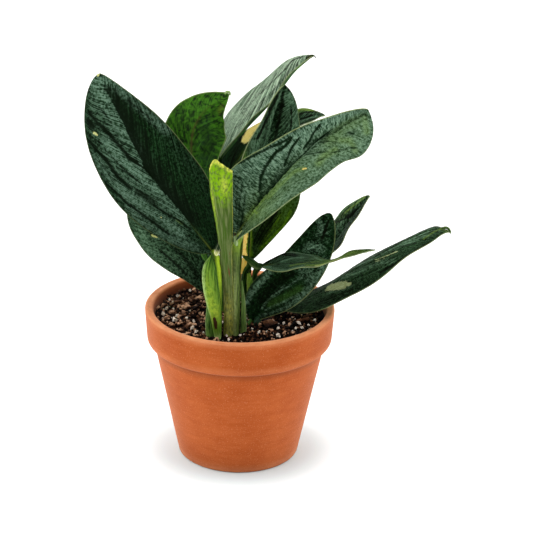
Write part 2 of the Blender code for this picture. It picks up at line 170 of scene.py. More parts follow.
# Soft lumps from -1 to 1 over a plane, each about size across, from a lattice that repeats
def lumps(x, y, size, seed):
    cells = 97
    lattice = np.random.default_rng(seed).uniform(-1, 1, (cells, cells))
    gridX, gridY = np.asarray(x) / size + 400.3, np.asarray(y) / size + 400.7
    ix, iy = np.floor(gridX).astype(int), np.floor(gridY).astype(int)
    fx, fy = gridX - ix, gridY - iy
    fx, fy = fx * fx * (3 - 2 * fx), fy * fy * (3 - 2 * fy)
    low, high = (
        lattice[row % cells, ix % cells] * (1 - fx) + lattice[row % cells, (ix + 1) % cells] * fx
        for row in (iy, iy + 1)
    )
    return low * (1 - fy) + high * fy


# Soft spots on a surface: each is (place along, place across, reach along, reach across, amount)
def spots(t, s, table):
    total = np.zeros(len(t))
    for along, across, reachAlong, reachAcross, amount in table:
        total += amount * np.exp(-((t - along) / reachAlong) ** 2 - ((s - across) / reachAcross) ** 2)
    return np.clip(total, 0, 1)


# Distance from each point to a chain of points, all in millimetres
def toChain(x, y, chain):
    nearest = np.full(len(x), 1e9)
    for (ax, ay), (bx, by) in zip(chain[:-1], chain[1:]):
        dx, dy = bx - ax, by - ay
        share = np.clip(((x - ax) * dx + (y - ay) * dy) / max(dx * dx + dy * dy, 1e-9), 0, 1)
        nearest = np.minimum(nearest, np.hypot(x - ax - share * dx, y - ay - share * dy))
    return nearest


# A grid whose points are put where place(u, v) says, u along and v across in 0..1
def shapedGrid(name, columns, rows, place):
    bpy.ops.mesh.primitive_grid_add(x_subdivisions=columns, y_subdivisions=rows, size=1.0)
    piece = bpy.context.object
    piece.name = piece.data.name = name
    flat = getPoints(piece)
    setPoints(piece, toWorld(place(flat[:, 1] + 0.5, flat[:, 0] + 0.5)))
    return piece


# Gives a sheet its wall, grown to both sides
def thicken(piece, thickness, **settings):
    wall = piece.modifiers.new("thickness", "SOLIDIFY")
    wall.thickness = thickness * mm
    wall.offset = 0.0
    for name, value in settings.items():
        setattr(wall, name, value)
    activate(piece)
    bpy.ops.object.modifier_apply(modifier=wall.name)


def finishPiece(piece, materialSlot, *nodes, angle=50.0):
    activate(piece)
    bpy.ops.object.shade_smooth_by_angle(angle=math.radians(angle))
    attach(piece, "root")
    if nodes:
        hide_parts(*nodes)


print("camera, floor and light")
view = {
    "elevation": 22.3,
    "roll": 1.0,
    "distance": 1600.0,
    "aim": (20.8, 0.0, 159.5),
    "lens": 136.0,
}


def makeCamera():
    tilt, roll = math.radians(view["elevation"]), math.radians(view["roll"])
    ahead = np.array([0.0, math.cos(tilt), -math.sin(tilt)])
    level = np.array([1.0, 0.0, 0.0])
    above = np.cross(level, ahead)
    right = level * math.cos(roll) + above * math.sin(roll)
    up = above * math.cos(roll) - level * math.sin(roll)
    eye = toWorld(np.array(view["aim"]) - ahead * view["distance"])
    bpy.ops.object.camera_add(location=tuple(eye))
    camera = bpy.context.object
    rows = [(right[i], up[i], -ahead[i], eye[i]) for i in range(3)]
    camera.matrix_world = Matrix([*rows, (0.0, 0.0, 0.0, 1.0)])
    camera.data.lens = view["lens"]
    camera.data.sensor_width = 36.0
    bpy.context.scene.camera = camera


light = {
    "room": 0.78,  # the room's light from above and behind
    "roomFront": 0.22,  # darker on the camera's side, which keeps the leaves deep green
    "suns": [  # where each comes from, its strength and its softness in degrees
        ((-1.0, -0.2, 0.75), 1.5, 70.0),
        ((1.0, -0.1, 0.7), 1.2, 70.0),
        ((0.0, 0.5, 1.0), 1.3, 100.0),
    ],
}


def makeLight():
    scene = bpy.context.scene
    scene.world = bpy.data.worlds.new("softStudio")
    scene.world.use_nodes = True
    tree = scene.world.node_tree
    where = addNode(tree, "TexCoord", {}).outputs["Generated"]
    parts = addNode(tree, "SeparateXYZ", {"Vector": where})
    strength = addNode(tree, "MapRange", {
        "Value": parts.outputs["Y"], "From Min": -1.0, "From Max": 0.6,
        "To Min": light["roomFront"], "To Max": light["room"],
    }, interpolation_type="SMOOTHSTEP")
    setInputs(tree, tree.nodes["Background"], {"Color": white, "Strength": strength})
    for number, (source, power, softness) in enumerate(light["suns"], 1):
        bpy.ops.object.light_add(type="SUN", location=(0.0, 0.0, 1.5))
        sun = bpy.context.object
        sun.name = f"softbox{number}"
        x, y, z = np.array(source) / np.linalg.norm(source)
        sun.rotation_euler = (math.acos(z), 0.0, math.atan2(y, x) + math.pi / 2)
        sun.data.energy = power
        sun.data.angle = math.radians(softness)
    scene.view_settings.view_transform = "Standard"
    scene.view_settings.look = "None"


floorLook = {
    "paper": ("#f6f5f4", "#f9f8f7"),
    "tint": "#e8f8fb",  # cooler round the pot, where the clay throws its orange on the paper
    "tinted": (0.05, 0.13),  # metres from the pot's axis between which the tint fades
    "glow": (0.055, 0.085, 0.25),  # light from below, as on a lit table: from, to and strength
}


# Matt white paper sweep: shows only the soft contact shadow
def makeFloor():
    material, tree, shader = newMaterial("whitePaperFloor")
    where = addNode(tree, "TexCoord", {}).outputs["Object"]
    grain = addNode(tree, "TexNoise", {"Vector": where, "Scale": 3.0})
    pale, paler = floorLook["paper"]
    tone = addNode(tree, "Mix", {"Factor": grain, "A": pale, "B": paler}, data_type="RGBA")
    away = addNode(tree, "VectorMath", {0: where, 1: tuple(axisShift)}, operation="DISTANCE")
    start, end = floorLook["tinted"]
    near = addNode(tree, "MapRange", {
        "Value": away, "From Min": start, "From Max": end, "To Min": 1.0, "To Max": 0.0,
    }, interpolation_type="SMOOTHSTEP")
    tone = addNode(tree, "Mix", {"Factor": near, "A": tone, "B": floorLook["tint"]}, data_type="RGBA")
    start, end, strength = floorLook["glow"]
    glow = addNode(tree, "MapRange", {
        "Value": away, "From Min": start, "From Max": end, "To Max": strength,
    }, interpolation_type="SMOOTHSTEP")
    setInputs(tree, shader, {
        "Base Color": tone, "Emission Strength": glow, "Emission Color": white,
        "Roughness": 0.9, "Specular IOR Level": 0.1,
    })
    bpy.ops.mesh.primitive_plane_add(size=12.0)
    floor = bpy.context.object
    floor.name = "floor"
    floor.data.materials.append(material)


makeCamera()
makeLight()
makeFloor()

print("pot")
pot = {
    "rim": 76.0,
    "height": 126.3,
    "collar": 30.0,
    "collarTaper": 1.6,
    "collarRounding": 4.2,
    "bodyTop": 68.8,
    "foot": 49.0,
    "footRounding": 1.5,
    "rimInside": 69.2,
    "lipOutside": 2.2,  # roundings of the lip's edges
    "lipInside": 2.4,
    "lipDrop": 1.2,  # how far the lip slopes down to its inner edge
    "wall": 6.5,
    "floor": 8.0,
    "drain": 10.0,
    "steps": 144,
    "wobble": 0.16,  # how far a turned and fired pot is out of round
    "shadeInside": 0.88,  # how dark the painted shade is inside above the mix, partly the wall's damp
    "clay": "#ba5d2a",
    "clayDeep": "#a84c1a",
    "clayPale": "#f2ac7c",
    # dark clay for the grog specks, and the colour of the painted shade
    "shadeAndDarkClay": "#6e3317",
}


def arc(x, y, radius, start, end, steps):
    turns = [math.radians(start + (end - start) * i / steps) for i in range(steps + 1)]
    return [(x + radius * math.cos(turn), y + radius * math.sin(turn)) for turn in turns]


def between(start, end, steps):
    return [tuple(a + (b - a) * i / steps for a, b in zip(start, end)) for i in range(1, steps)]


# The pot's wall in section, from the lip's inner edge over the outside and back up the inside
def potSection():
    rim, height, rimInside, bodyTop = pot["rim"], pot["height"], pot["rimInside"], pot["bodyTop"]
    foot, floor, wall, drain = pot["foot"], pot["floor"], pot["wall"], pot["drain"]
    inner, outer = pot["lipInside"], pot["lipOutside"]
    collarFoot = height - pot["collar"]
    slope = (bodyTop - foot) / collarFoot
    section = arc(rimInside + inner, height - pot["lipDrop"] - inner, inner, 180, 85, 8)
    section += arc(rim - outer, height - 0.5 - outer, outer, 95, 0, 8)
    bend = pot["collarRounding"]
    edge = arc(rim - pot["collarTaper"] - bend, collarFoot + bend, bend, 0, -90, 9)
    section += between(section[-1], edge[0], 6) + edge
    section += [(bodyTop + 0.5, collarFoot - 0.15), (bodyTop, collarFoot - 0.8)]
    bend = pot["footRounding"]
    footArc = arc(foot - bend, bend, bend, 0, -90, 4)
    section += between(section[-1], footArc[0], 14) + footArc
    bevel = 1.2
    section += [(drain + bevel, 0.0), (drain, bevel), (drain, floor - bevel), (drain + bevel, floor)]
    floorRadius = foot + slope * floor - wall
    stepZ = collarFoot - 2.5
    section += [
        (floorRadius - 2.5, floor), (floorRadius + 0.5, floor + 3.0),
        (foot + slope * stepZ - wall, stepZ), (rimInside - 2.4, collarFoot + 4.0),
    ]
    return section + between(section[-1], section[0], 6)


# Terracotta, turned and fired without glaze: a dusty orange with faint turning lines,
# fine grog specks and paler dust on its edges, on the lip also a painted highlight; painted
# shade inside above the mix, partly the wall's damp, under the collar and at the foot
def terracotta():
    material, tree, shader = newMaterial("unglazedTerracotta")
    where = addNode(tree, "TexCoord", {}).outputs["Object"]
    flat = addNode(tree, "Mapping", {"Vector": where, "Scale": (0.05, 0.05, 1.0)})
    drawn = addNode(tree, "Mapping", {"Vector": where, "Scale": (0.5, 0.5, 1.6)})
    clouds, turning, specks, blotches = (
        addNode(tree, "TexNoise", {
            "Vector": place, "Scale": scale, "Detail": detail, "Roughness": rough,
        })
        for place, scale, detail, rough in (
            (where, 26.0, 4.0, 0.6),
            (flat, 600.0, 4.0, 0.7),  # lines 1.7 mm apart
            (where, 1200.0, 2.0, 0.7),  # grog of 0.8 mm
            (drawn, 120.0, 5.0, 0.65),  # 17 mm long and 5 mm high, as the wheel draws them
        )
    )
    tone = addNode(tree, "Math", {0: turning, 1: 0.45, 2: clouds}, operation="MULTIPLY_ADD")
    tone = addNode(tree, "Math", {0: blotches, 1: 0.7, 2: tone}, operation="MULTIPLY_ADD")
    tone = addNode(tree, "MapRange", {"Value": tone, "From Min": 0.87, "From Max": 1.3})
    # pale dust on the edges, on the lip also a painted highlight
    dustAndHighlight = addNode(tree, "Attribute", {}, attribute_name="dustAndHighlight").outputs["Fac"]
    dustAndHighlightEdge = addNode(tree, "Math", {0: dustAndHighlight, 1: blotches}, operation="MULTIPLY")
    pale, dark = (
        addNode(tree, "MapRange", {
            "Value": specks, "From Min": start, "From Max": end, "To Max": 0.4,
        })
        for start, end in ((0.6, 0.72), (0.36, 0.27))
    )
    # painted shade inside, under the collar and at the foot
    shadeAndDarkClay = addNode(tree, "Attribute", {}, attribute_name="shadeAndDarkClay").outputs["Fac"]
    colour = pot["clayDeep"]
    for amount, wash in (
        (tone, "clay"), (dustAndHighlightEdge, "clayPale"), (pale, "clayPale"), (dark, "shadeAndDarkClay"), (shadeAndDarkClay, "shadeAndDarkClay"),
    ):
        colour = addNode(tree, "Mix", {"Factor": amount, "A": colour, "B": pot[wash]}, data_type="RGBA")
    height = addNode(tree, "Math", {0: turning, 1: specks}, operation="ADD")
    bump = addNode(tree, "Bump", {"Height": height, "Strength": 0.45, "Distance": 0.0003})
    setInputs(tree, shader, {
        "Base Color": colour, "Normal": bump, "Roughness": 0.82, "Specular IOR Level": 0.12,
        "Sheen Weight": 0.45, "Sheen Roughness": 0.4, "Sheen Tint": "#ffc8a8",
    })
    return material


# A circle takes the shape of the wall's section, and is spun round the pot's axis
def makePot():
    section = potSection()
    bpy.ops.mesh.primitive_circle_add(vertices=len(section), radius=0.01)
    piece = bpy.context.object
    piece.name = piece.data.name = "claypot"
    setPoints(piece, toWorld([(r, 0.0, z) for r, z in section]))

    def spinSection():
        bpy.ops.mesh.spin(
            steps=pot["steps"], angle=math.tau, center=tuple(axisShift), axis=(0.0, 0.0, 1.0),
        )
        bpy.ops.mesh.select_all(action="SELECT")
        bpy.ops.mesh.remove_doubles(threshold=1e-6)
        bpy.ops.mesh.normals_make_consistent(inside=False)

    inEditMode(piece, spinSection)
    local = (getPoints(piece) - axisShift) / mm
    radius = np.hypot(local[:, 0], local[:, 1])
    turn = np.arctan2(local[:, 1], local[:, 0])
    z = local[:, 2]
    height, collarFoot = pot["height"], pot["height"] - pot["collar"]
    outside = pot["foot"] + (pot["bodyTop"] - pot["foot"]) * z / collarFoot
    shape = lumps(np.cos(turn) * 40 + z * 0.3, np.sin(turn) * 40, 22, 5) * pot["wobble"]
    grown = (radius + shape * np.clip(z / 6, 0, 1)) / np.maximum(radius, 1e-6)
    local[:, :2] *= grown[:, None]
    setPoints(piece, toWorld(local))

    def bandAt(middle, reach, amount):
        return np.exp(-((z - middle) / reach) ** 2) * amount

    inner = (radius < np.minimum(outside - 3, pot["rimInside"] + 0.6)) & (z > pot["floor"] + 0.5)
    depth = np.clip((height - 2.5 - z) / 4, 0, 1) * pot["shadeInside"]
    # dust on the lip, the collar's edge and the foot; on the lip it is also a painted highlight
    dustAndHighlight = bandAt(height - 0.9, 1.7, 1.1) + bandAt(collarFoot + 4, 2.0, 0.25) * (radius > 71)
    dustAndHighlight += bandAt(0, 5, 0.5)
    # painted shade inside above the mix and in the corner under the collar, and a painted contact shadow
    # where the foot stands
    shadeAndDarkClay = inner * depth + bandAt(collarFoot - 0.3, 1.3, 0.75) * (radius > outside - 1)
    shadeAndDarkClay += bandAt(0.2, 0.9, 0.7) * (radius > outside - 3)
    setAttributes(piece, {"dustAndHighlight": np.clip(dustAndHighlight, 0, 1), "shadeAndDarkClay": np.clip(shadeAndDarkClay, 0, 1)})
    piece.data.materials.append(terracotta())
    finishPiece(piece, "terracotta", "pot", angle=40.0)


makePot()

print("potting mix")
mix = {
    "top": 117.6,
    "radius": 66.6,
    "chipSpacing": 2.8,
    "chipLength": 3.0,  # of a middling chip
    "chipMost": (10, 2.8, 1.7),  # the most a chip is long, wide and thick
    "chipTopLight": 0.85,  # how much paler its top is than its foot: painted light on top, painted shade below
    "upperGaps": 0.42,  # share of the upper layer's places that stay empty
    "lowerLighter": 0.3,  # what is left of their lightness in the lower layer, darkened as painted shade in the gaps
    "shadyFrom": -8,  # painted shadow of the leaves on the mix right of this x
    "shadyDarker": 0.4,
    "bark": ["#010000", "#060302", "#22110a", "#5f3c26", "#c89c7c"],
    "crumbs": 700,
    # painted light on the crumbs' tops and painted shade below
    "crumbTopLight": 0.6,
    "grain": "#f8ecdc",
    "grainShade": "#b4a490",
    "smallGrains": 120,
    # larger grains where the photograph shows them: x, y and width
    "grains": [
        (-59.1, 3.7, 3.0), (-51.9, -19.6, 4.2), (-36.7, -32.4, 3.4), (-33.4, -40.1, 3.6),
        (-57.5, 22.7, 2.0), (-51.4, 31.0, 2.4), (-54.7, 17.9, 2.2), (-41.8, 43.0, 2.2),
        (-61.0, -7.9, 3.4), (-49.6, -10.1, 3.0), (-42.3, -15.1, 2.6), (-36.1, -19.0, 2.2),
        (30.8, -32.0, 3.0), (30.8, -45.2, 3.4), (35.2, -21.2, 2.6), (47.1, -22.0, 3.6),
        (49.7, -29.9, 2.6), (60.2, -14.8, 2.2), (15.8, -39.4, 2.4), (-7.6, -53.3, 2.2),
        (44.8, -31.4, 2.4),
    ],
    "pumice": (-44.1, 10.5, 8.0),  # a crumbling pale lump: x, y and width
    "pumiceCrumbs": 26,
    # bare of chips, where the front stalks come out of the mix: x, y and reach
    "footprints": [(-16.0, -47.5, 4.5), (-22.0, -46.0, 4.5), (-9.0, -44.0, 4.0), (-2.6, -43.0, 3.5)],
    "heap": (4, 36, 9, 6.5),  # against the back wall: from x to x, its depth and its height
    "heapChips": 36,
    # single large chips: x, y, length, width and turn in degrees
    "bigChips": [
        (23.2, -23.0, 9.0, 7.0, 35.0), (-50.0, 18.0, 7.5, 4.0, 200.0), (50.5, -16.0, 12.0, 3.6, 20.0),
        (46.0, -20.0, 9.0, 2.4, 50.0), (54.0, -8.0, 8.0, 2.0, 30.0),
    ],
}


# Composted bark, torn by a shredder: brown fibrous chips; the mix under them is near-black, painted shade
# in the gaps
def barkMaterial(name, shaded):
    material, tree, shader = newMaterial(name)
    where = addNode(tree, "TexCoord", {}).outputs["Object"]
    fibres = addNode(tree, "TexNoise", {  # fibres of 0.7 mm
        "Vector": where, "Scale": 900.0, "Detail": 4.0, "Roughness": 0.65, "Distortion": 0.6,
    })
    if shaded:
        shade = addNode(tree, "Attribute", {}, attribute_name="shade").outputs["Fac"]
    else:
        clods = addNode(tree, "TexNoise", {"Vector": where, "Scale": 300.0, "Detail": 3.0})
        shade = addNode(tree, "MapRange", {
            "Value": clods, "From Min": 0.3, "From Max": 0.8, "To Max": 0.35,
        })
    streak = addNode(tree, "MapRange", {
        "Value": fibres, "From Min": 0.3, "From Max": 0.7, "To Min": -0.15, "To Max": 0.15,
    })
    tone = addNode(tree, "Math", {0: shade, 1: streak}, operation="ADD")
    ramp = addNode(tree, "ValToRGB", {"Fac": tone})
    stops = ramp.color_ramp.elements
    for number, colour in enumerate(mix["bark"]):
        stop = stops[number] if number < 2 else stops.new(1.0)
        stop.position = number / (len(mix["bark"]) - 1)
        stop.color = linear(colour)
    bump = addNode(tree, "Bump", {"Height": fibres, "Strength": 0.8, "Distance": 0.0005})
    setInputs(tree, shader, {
        "Base Color": ramp, "Normal": bump, "Roughness": 0.7, "Specular IOR Level": 0.06,
    })
    return material


# Perlite, rock foamed by heat: off-white crumbs with tiny pits
def perliteMaterial():
    material, tree, shader = newMaterial("foamedPerlite")
    where = addNode(tree, "TexCoord", {}).outputs["Object"]
    pits = addNode(tree, "TexVoronoi", {"Vector": where, "Scale": 1400.0})
    tone = addNode(tree, "MapRange", {"Value": pits, "From Min": 0.1, "From Max": 0.5})
    colour = addNode(tree, "Mix", {
        "Factor": tone, "A": mix["grainShade"], "B": mix["grain"],
    }, data_type="RGBA")
    bump = addNode(tree, "Bump", {"Height": pits, "Strength": 0.7, "Distance": 0.0004})
    setInputs(tree, shader, {"Base Color": colour, "Normal": bump, "Roughness": 0.9})
    return material


# A few torn shapes to copy: points about a unit wide, and faces
def tornShapes(kind, count, seed, jitter):
    shapes = []
    draw = np.random.default_rng(seed)
    for _ in range(count):
        if kind == "chip":
            bpy.ops.mesh.primitive_cube_add(size=1.0)
            inEditMode(bpy.context.object, lambda: bpy.ops.mesh.subdivide(number_cuts=1))
        else:
            bpy.ops.mesh.primitive_ico_sphere_add(subdivisions=2, radius=0.5)
        shape = bpy.context.object
        points = getPoints(shape)
        points = points * 0.82 + unit(points) * 0.1 + draw.normal(0, jitter, points.shape)
        if kind == "chip":
            points[:, 0] *= 1 + 0.3 * points[:, 1] * draw.uniform(-1, 1)
        shapes.append((points, [tuple(face.vertices) for face in shape.data.polygons]))
        bpy.data.objects.remove(shape, do_unlink=True)
    return shapes


def turned(points, *angles):
    for angle, (i, j) in zip(angles, ((1, 2), (0, 2), (0, 1))):
        c, s = math.cos(angle), math.sin(angle)
        first, second = points[:, i].copy(), points[:, j].copy()
        points[:, i], points[:, j] = c * first - s * second, s * first + c * second
    return points


# Copies of the shapes at their places: (x, y, z, size, lean, tip, spin, shade), each
# with painted light on its top and painted shade below
def scatter(name, shapes, places, material, topLight=0.0):
    allPoints, allFaces, shades = [], [], []
    start = 0
    for number, (x, y, z, size, lean, tip, spin, shade) in enumerate(places):
        points, faces = shapes[number % len(shapes)]
        moved = turned(points * np.array(size), lean, tip, spin) + np.array([x, y, z])
        allPoints.append(moved)
        allFaces += [tuple(corner + start for corner in face) for face in faces]
        # painted light at the top of each copy and painted shade at its foot
        rise = (moved[:, 2] - z) / max(np.ptp(moved[:, 2]), 0.1)
        shades += list(shade + topLight * rise)
        start += len(points)
    mesh = bpy.data.meshes.new(name)
    mesh.from_pydata(toWorld(np.vstack(allPoints)).tolist(), [], allFaces)
    piece = bpy.data.objects.new(name, mesh)
    bpy.context.scene.collection.objects.link(piece)
    setAttributes(piece, {"shade": shades})
    piece.data.materials.append(material)
    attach(piece, "root")


def surfaceHeight(x, y):
    return mix["top"] + 0.9 * lumps(x, y, 16, 3) + 0.5


# Bare of chips where the front stalks come out of the mix
def inFootprint(x, y):
    return any(math.hypot(x - a, y - b) < reach for a, b, reach in mix["footprints"])


def makeMix():
    draw = np.random.default_rng(12)

    def inDisc(radius):
        r, turn = radius * math.sqrt(draw.uniform()), draw.uniform(0, math.tau)
        return r * math.cos(turn), r * math.sin(turn)

    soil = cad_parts["potting_mix"]
    soil.data.materials.clear()
    # the mix under the chips is near-black, painted shade in the gaps
    soil.data.materials.append(barkMaterial("gapShadeBarkMix", False))
    bark = barkMaterial("shreddedBark", True)
    radius, step = mix["radius"], mix["chipSpacing"]
    longest, widest, thickest = mix["chipMost"]
    chips = []
    reach = int(radius / step) + 1
    cells = range(-reach, reach + 1)
    for upper, i, j in ((upper, i, j) for upper in (False, True) for i in cells for j in cells):
        x = (i + 0.5 * (j % 2)) * step + draw.uniform(-1.2, 1.2)
        y = j * step * 0.92 + draw.uniform(-1.2, 1.2)
        length = min(mix["chipLength"] * math.exp(draw.normal(0.2, 0.45)), longest)
        width = min(length * draw.uniform(0.26, 0.5), widest)
        size = (length, width, min(width * draw.uniform(0.4, 0.8), thickest))
        lean, tip = draw.normal(0, 0.5), draw.normal(0, 0.42)
        spin, shade = draw.normal(0.5, 0.9), draw.uniform(0.12, 0.92)
        if math.hypot(x, y) > radius - length * 0.4:
            continue
        if upper and (draw.uniform() < mix["upperGaps"] or inFootprint(x, y)):
            continue
        # painted shade: the lower chips are dark in the gaps, and so are those on the side the leaves
        # shade
        shady = mix["shadyDarker"] * (x > mix["shadyFrom"])
        shade = shade - 0.1 - shady if upper else shade * mix["lowerLighter"]
        z = surfaceHeight(x, y) + (0.6 if upper else -1.2) + draw.uniform(-0.5, 0.5)
        chips.append((x, y, z, size, lean, tip, spin, shade))
    for x, y, length, width, spin in mix["bigChips"]:
        z = surfaceHeight(x, y) + 1.6
        chips.append((x, y, z, (length, width, 2.6), 0.25, 0.1, math.radians(spin), 0.38))
    first, last, deep, tall = mix["heap"]
    for _ in range(mix["heapChips"]):
        x, rise = draw.uniform(first, last), draw.uniform(0, 1)
        y = math.sqrt(66**2 - x**2) - deep * draw.uniform(0, 1) * (1.2 - rise) - 2
        size = (draw.uniform(4, 9), draw.uniform(1.5, 3), 1.6)
        turns = draw.normal(0, 0.5), draw.normal(0, 0.4), draw.normal(0, 0.9)
        chips.append((x, y, mix["top"] + 1 + tall * rise, size, *turns, 0.2))
    scatter("barkchips", tornShapes("chip", 7, 4, 0.06), chips, bark, mix["chipTopLight"])
    crumbs = []
    for _ in range(mix["crumbs"]):
        x, y = inDisc(radius)
        size = draw.uniform(0.9, 2.2)
        z = surfaceHeight(x, y) + draw.uniform(0.2, 1.5)
        if not inFootprint(x, y):
            crumb = (size * 1.7, size, size * 0.8)
            crumbs.append((x, y, z, crumb, *draw.uniform(0, 3, 3), draw.beta(1.6, 1.8)))
    middleX, middleY, width = mix["pumice"]
    top = surfaceHeight(middleX, middleY)
    for _ in range(mix["pumiceCrumbs"]):
        x, y = inDisc(width / 2)
        size = draw.uniform(1.6, 2.6)
        place = (middleX + x, middleY + y, top + 1.6 - 0.15 * math.hypot(x, y))
        crumb = (size, size, size * 0.9)
        crumbs.append((*place, crumb, *draw.uniform(0, 3, 3), draw.uniform(0.9, 1.3)))
    scatter("barkcrumbs", tornShapes("chip", 4, 9, 0.06), crumbs, bark, mix["crumbTopLight"])
    grains = []
    for x, y, width in mix["grains"]:
        size = (width, width * 0.85, width * 0.7)
        z = surfaceHeight(x, y) + 1.2 + width * 0.2
        grains.append((x, y, z, size, *draw.uniform(0, 3, 3), 0.5))
    for _ in range(mix["smallGrains"]):
        x, y = inDisc(radius - 3)
        width = draw.uniform(0.7, 1.9)
        z = surfaceHeight(x, y) + draw.uniform(0.0, 1.2)
        size = (width, width * draw.uniform(0.7, 1), width * 0.8)
        grains.append((x, y, z, size, *draw.uniform(0, 3, 3), 0.5))
    scatter("perlite", tornShapes("grain", 6, 2, 0.15), grains, perliteMaterial())


makeMix()


# Root tissue, rubbed with mix: pale and matt, hidden in the mix
def paintRoots():
    material, tree, shader = newMaterial("buriedRoot")
    where = addNode(tree, "TexCoord", {}).outputs["Object"]
    stain = addNode(tree, "TexNoise", {"Vector": where, "Scale": 220.0, "Detail": 4.0})
    colour = addNode(tree, "Mix", {"Factor": stain, "A": "#8f7a55", "B": "#c9b68c"}, data_type="RGBA")
    setInputs(tree, shader, {"Base Color": colour, "Roughness": 0.85})
    for node in ("stem_front", "stem_middle", "stem_rear"):
        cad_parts[node].data.materials.clear()
        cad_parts[node].data.materials.append(material)


paintRoots()


# A living leaf's upper side: waxed satin, deep green with silver, lime and cream painted by the
# attributes, the silver partly the leaf's own and partly a painted sheen, with painted shade in
# its furrows and beside the midrib, broken by puckers of 2 mm and streaks along the veins
def leafTop(name, look):
    material, tree, shader = newMaterial(name)
    blade, veins = (addNode(tree, "UVMap", {}, uv_map=layer) for layer in ("blade", "veins"))
    paint = {
        key: addNode(tree, "Attribute", {}, attribute_name=key).outputs["Fac"]
        for key in ("silver", "dark", "lime", "cream", "edge", "midrib", "quilt")
    }
    pucker, quilt, streak = (
        addNode(tree, "TexNoise", {
            "Vector": addNode(tree, "Mapping", {"Vector": lay, "Scale": look[shape]}),
            "Scale": 1.0, "Detail": detail, "Roughness": 0.6, "Distortion": swirl,
        })
        for lay, shape, detail, swirl in (
            (blade, "puckerShape", 3.0, 0.5), (blade, "quiltShape", 2.0, 1.2),
            (veins, "streakShape", 3.0, 0.4),
        )
    )
    mixed = pucker
    for amount, other in ((look["streaks"], streak), (paint["quilt"], quilt)):
        mixed = addNode(tree, "Mix", {"Factor": amount, "A": mixed, "B": other}, data_type="FLOAT")
    soft = look["soft"]
    texture = addNode(tree, "MapRange", {"Value": mixed, "From Min": 0.5 - soft, "From Max": 0.5 + soft})
    green, silver, cream = (
        addNode(tree, "Mix", {"Factor": texture, "A": look[low], "B": look[high]}, data_type="RGBA")
        for low, high in (("deep", "green"), ("silverShade", "silver"), ("creamShade", "cream"))
    )
    cloud = addNode(tree, "TexNoise", {"Vector": blade, "Scale": 0.11, "Detail": 2.0})  # 9 mm wide
    cloudy = addNode(tree, "MapRange", {
        "Value": cloud, "From Min": 0.3, "From Max": 0.7, "To Min": 0.75, "To Max": 1.2,
    })
    # the silver wash: partly the leaf's own silver-green, partly a painted sheen
    wash = addNode(tree, "Math", {0: paint["silver"], 1: cloudy}, operation="MULTIPLY")
    # the wash is even, and only its edge is broken up by the pattern
    level = addNode(tree, "Math", {0: texture, 1: 0.5}, operation="SUBTRACT")
    wash = addNode(tree, "Math", {0: level, 1: look["blend"], 2: wash}, operation="MULTIPLY_ADD")
    wash = addNode(tree, "MapRange", {"Value": wash, "From Min": 0.2, "From Max": 1.05})
    broken = addNode(tree, "MapRange", {"Value": texture, "To Min": 0.35, "To Max": 1.1})
    lime = addNode(tree, "Math", {0: paint["lime"], 1: broken}, operation="MULTIPLY", use_clamp=True)
    # painted shade in the furrows, along the veins, under the dark strokes and beside the midrib
    hollow = addNode(tree, "Math", {0: level, 1: -0.18, 2: paint["dark"]}, operation="MULTIPLY_ADD")
    hollow = addNode(tree, "MapRange", {
        "Value": hollow, "From Min": 0.2, "From Max": 0.8,
    }, interpolation_type="SMOOTHSTEP")
    rib = addNode(tree, "Math", {0: paint["midrib"], 1: 0.9}, operation="MULTIPLY")
    ragged = addNode(tree, "Math", {0: mixed, 1: 0.5}, operation="SUBTRACT")
    ragged = addNode(tree, "Math", {0: ragged, 1: 2.2, 2: paint["cream"]}, operation="MULTIPLY_ADD")
    creamy = addNode(tree, "MapRange", {"Value": ragged, "From Min": -0.05, "From Max": 0.12})
    colour = green
    for amount, other in (
        (wash, silver), (lime, look["lime"]), (hollow, look["hollow"]), (rib, look["ribColour"]),
        (creamy, cream), (paint["edge"], look["edge"]),
    ):
        colour = addNode(tree, "Mix", {"Factor": amount, "A": colour, "B": other}, data_type="RGBA")
    bump = addNode(tree, "Bump", {"Height": mixed, "Strength": look["bump"], "Distance": 0.002})
    gloss = addNode(tree, "MapRange", {
        "Value": texture, "To Min": look["gloss"] + 0.1, "To Max": look["gloss"],
    })
    setInputs(tree, shader, {
        "Base Color": colour, "Roughness": gloss, "Normal": bump, "Specular IOR Level": look["shine"],
    })
    # a painted glow where light comes through the thin lime and cream tissue
    if look["through"]:
        thin = addNode(tree, "Math", {
            0: lime, 1: 0.4, 2: creamy,
        }, operation="MULTIPLY_ADD", use_clamp=True)
        through = addNode(tree, "Math", {0: thin, 1: look["through"]}, operation="MULTIPLY")
        setInputs(tree, shader, {"Emission Strength": through, "Emission Color": colour})
    return material


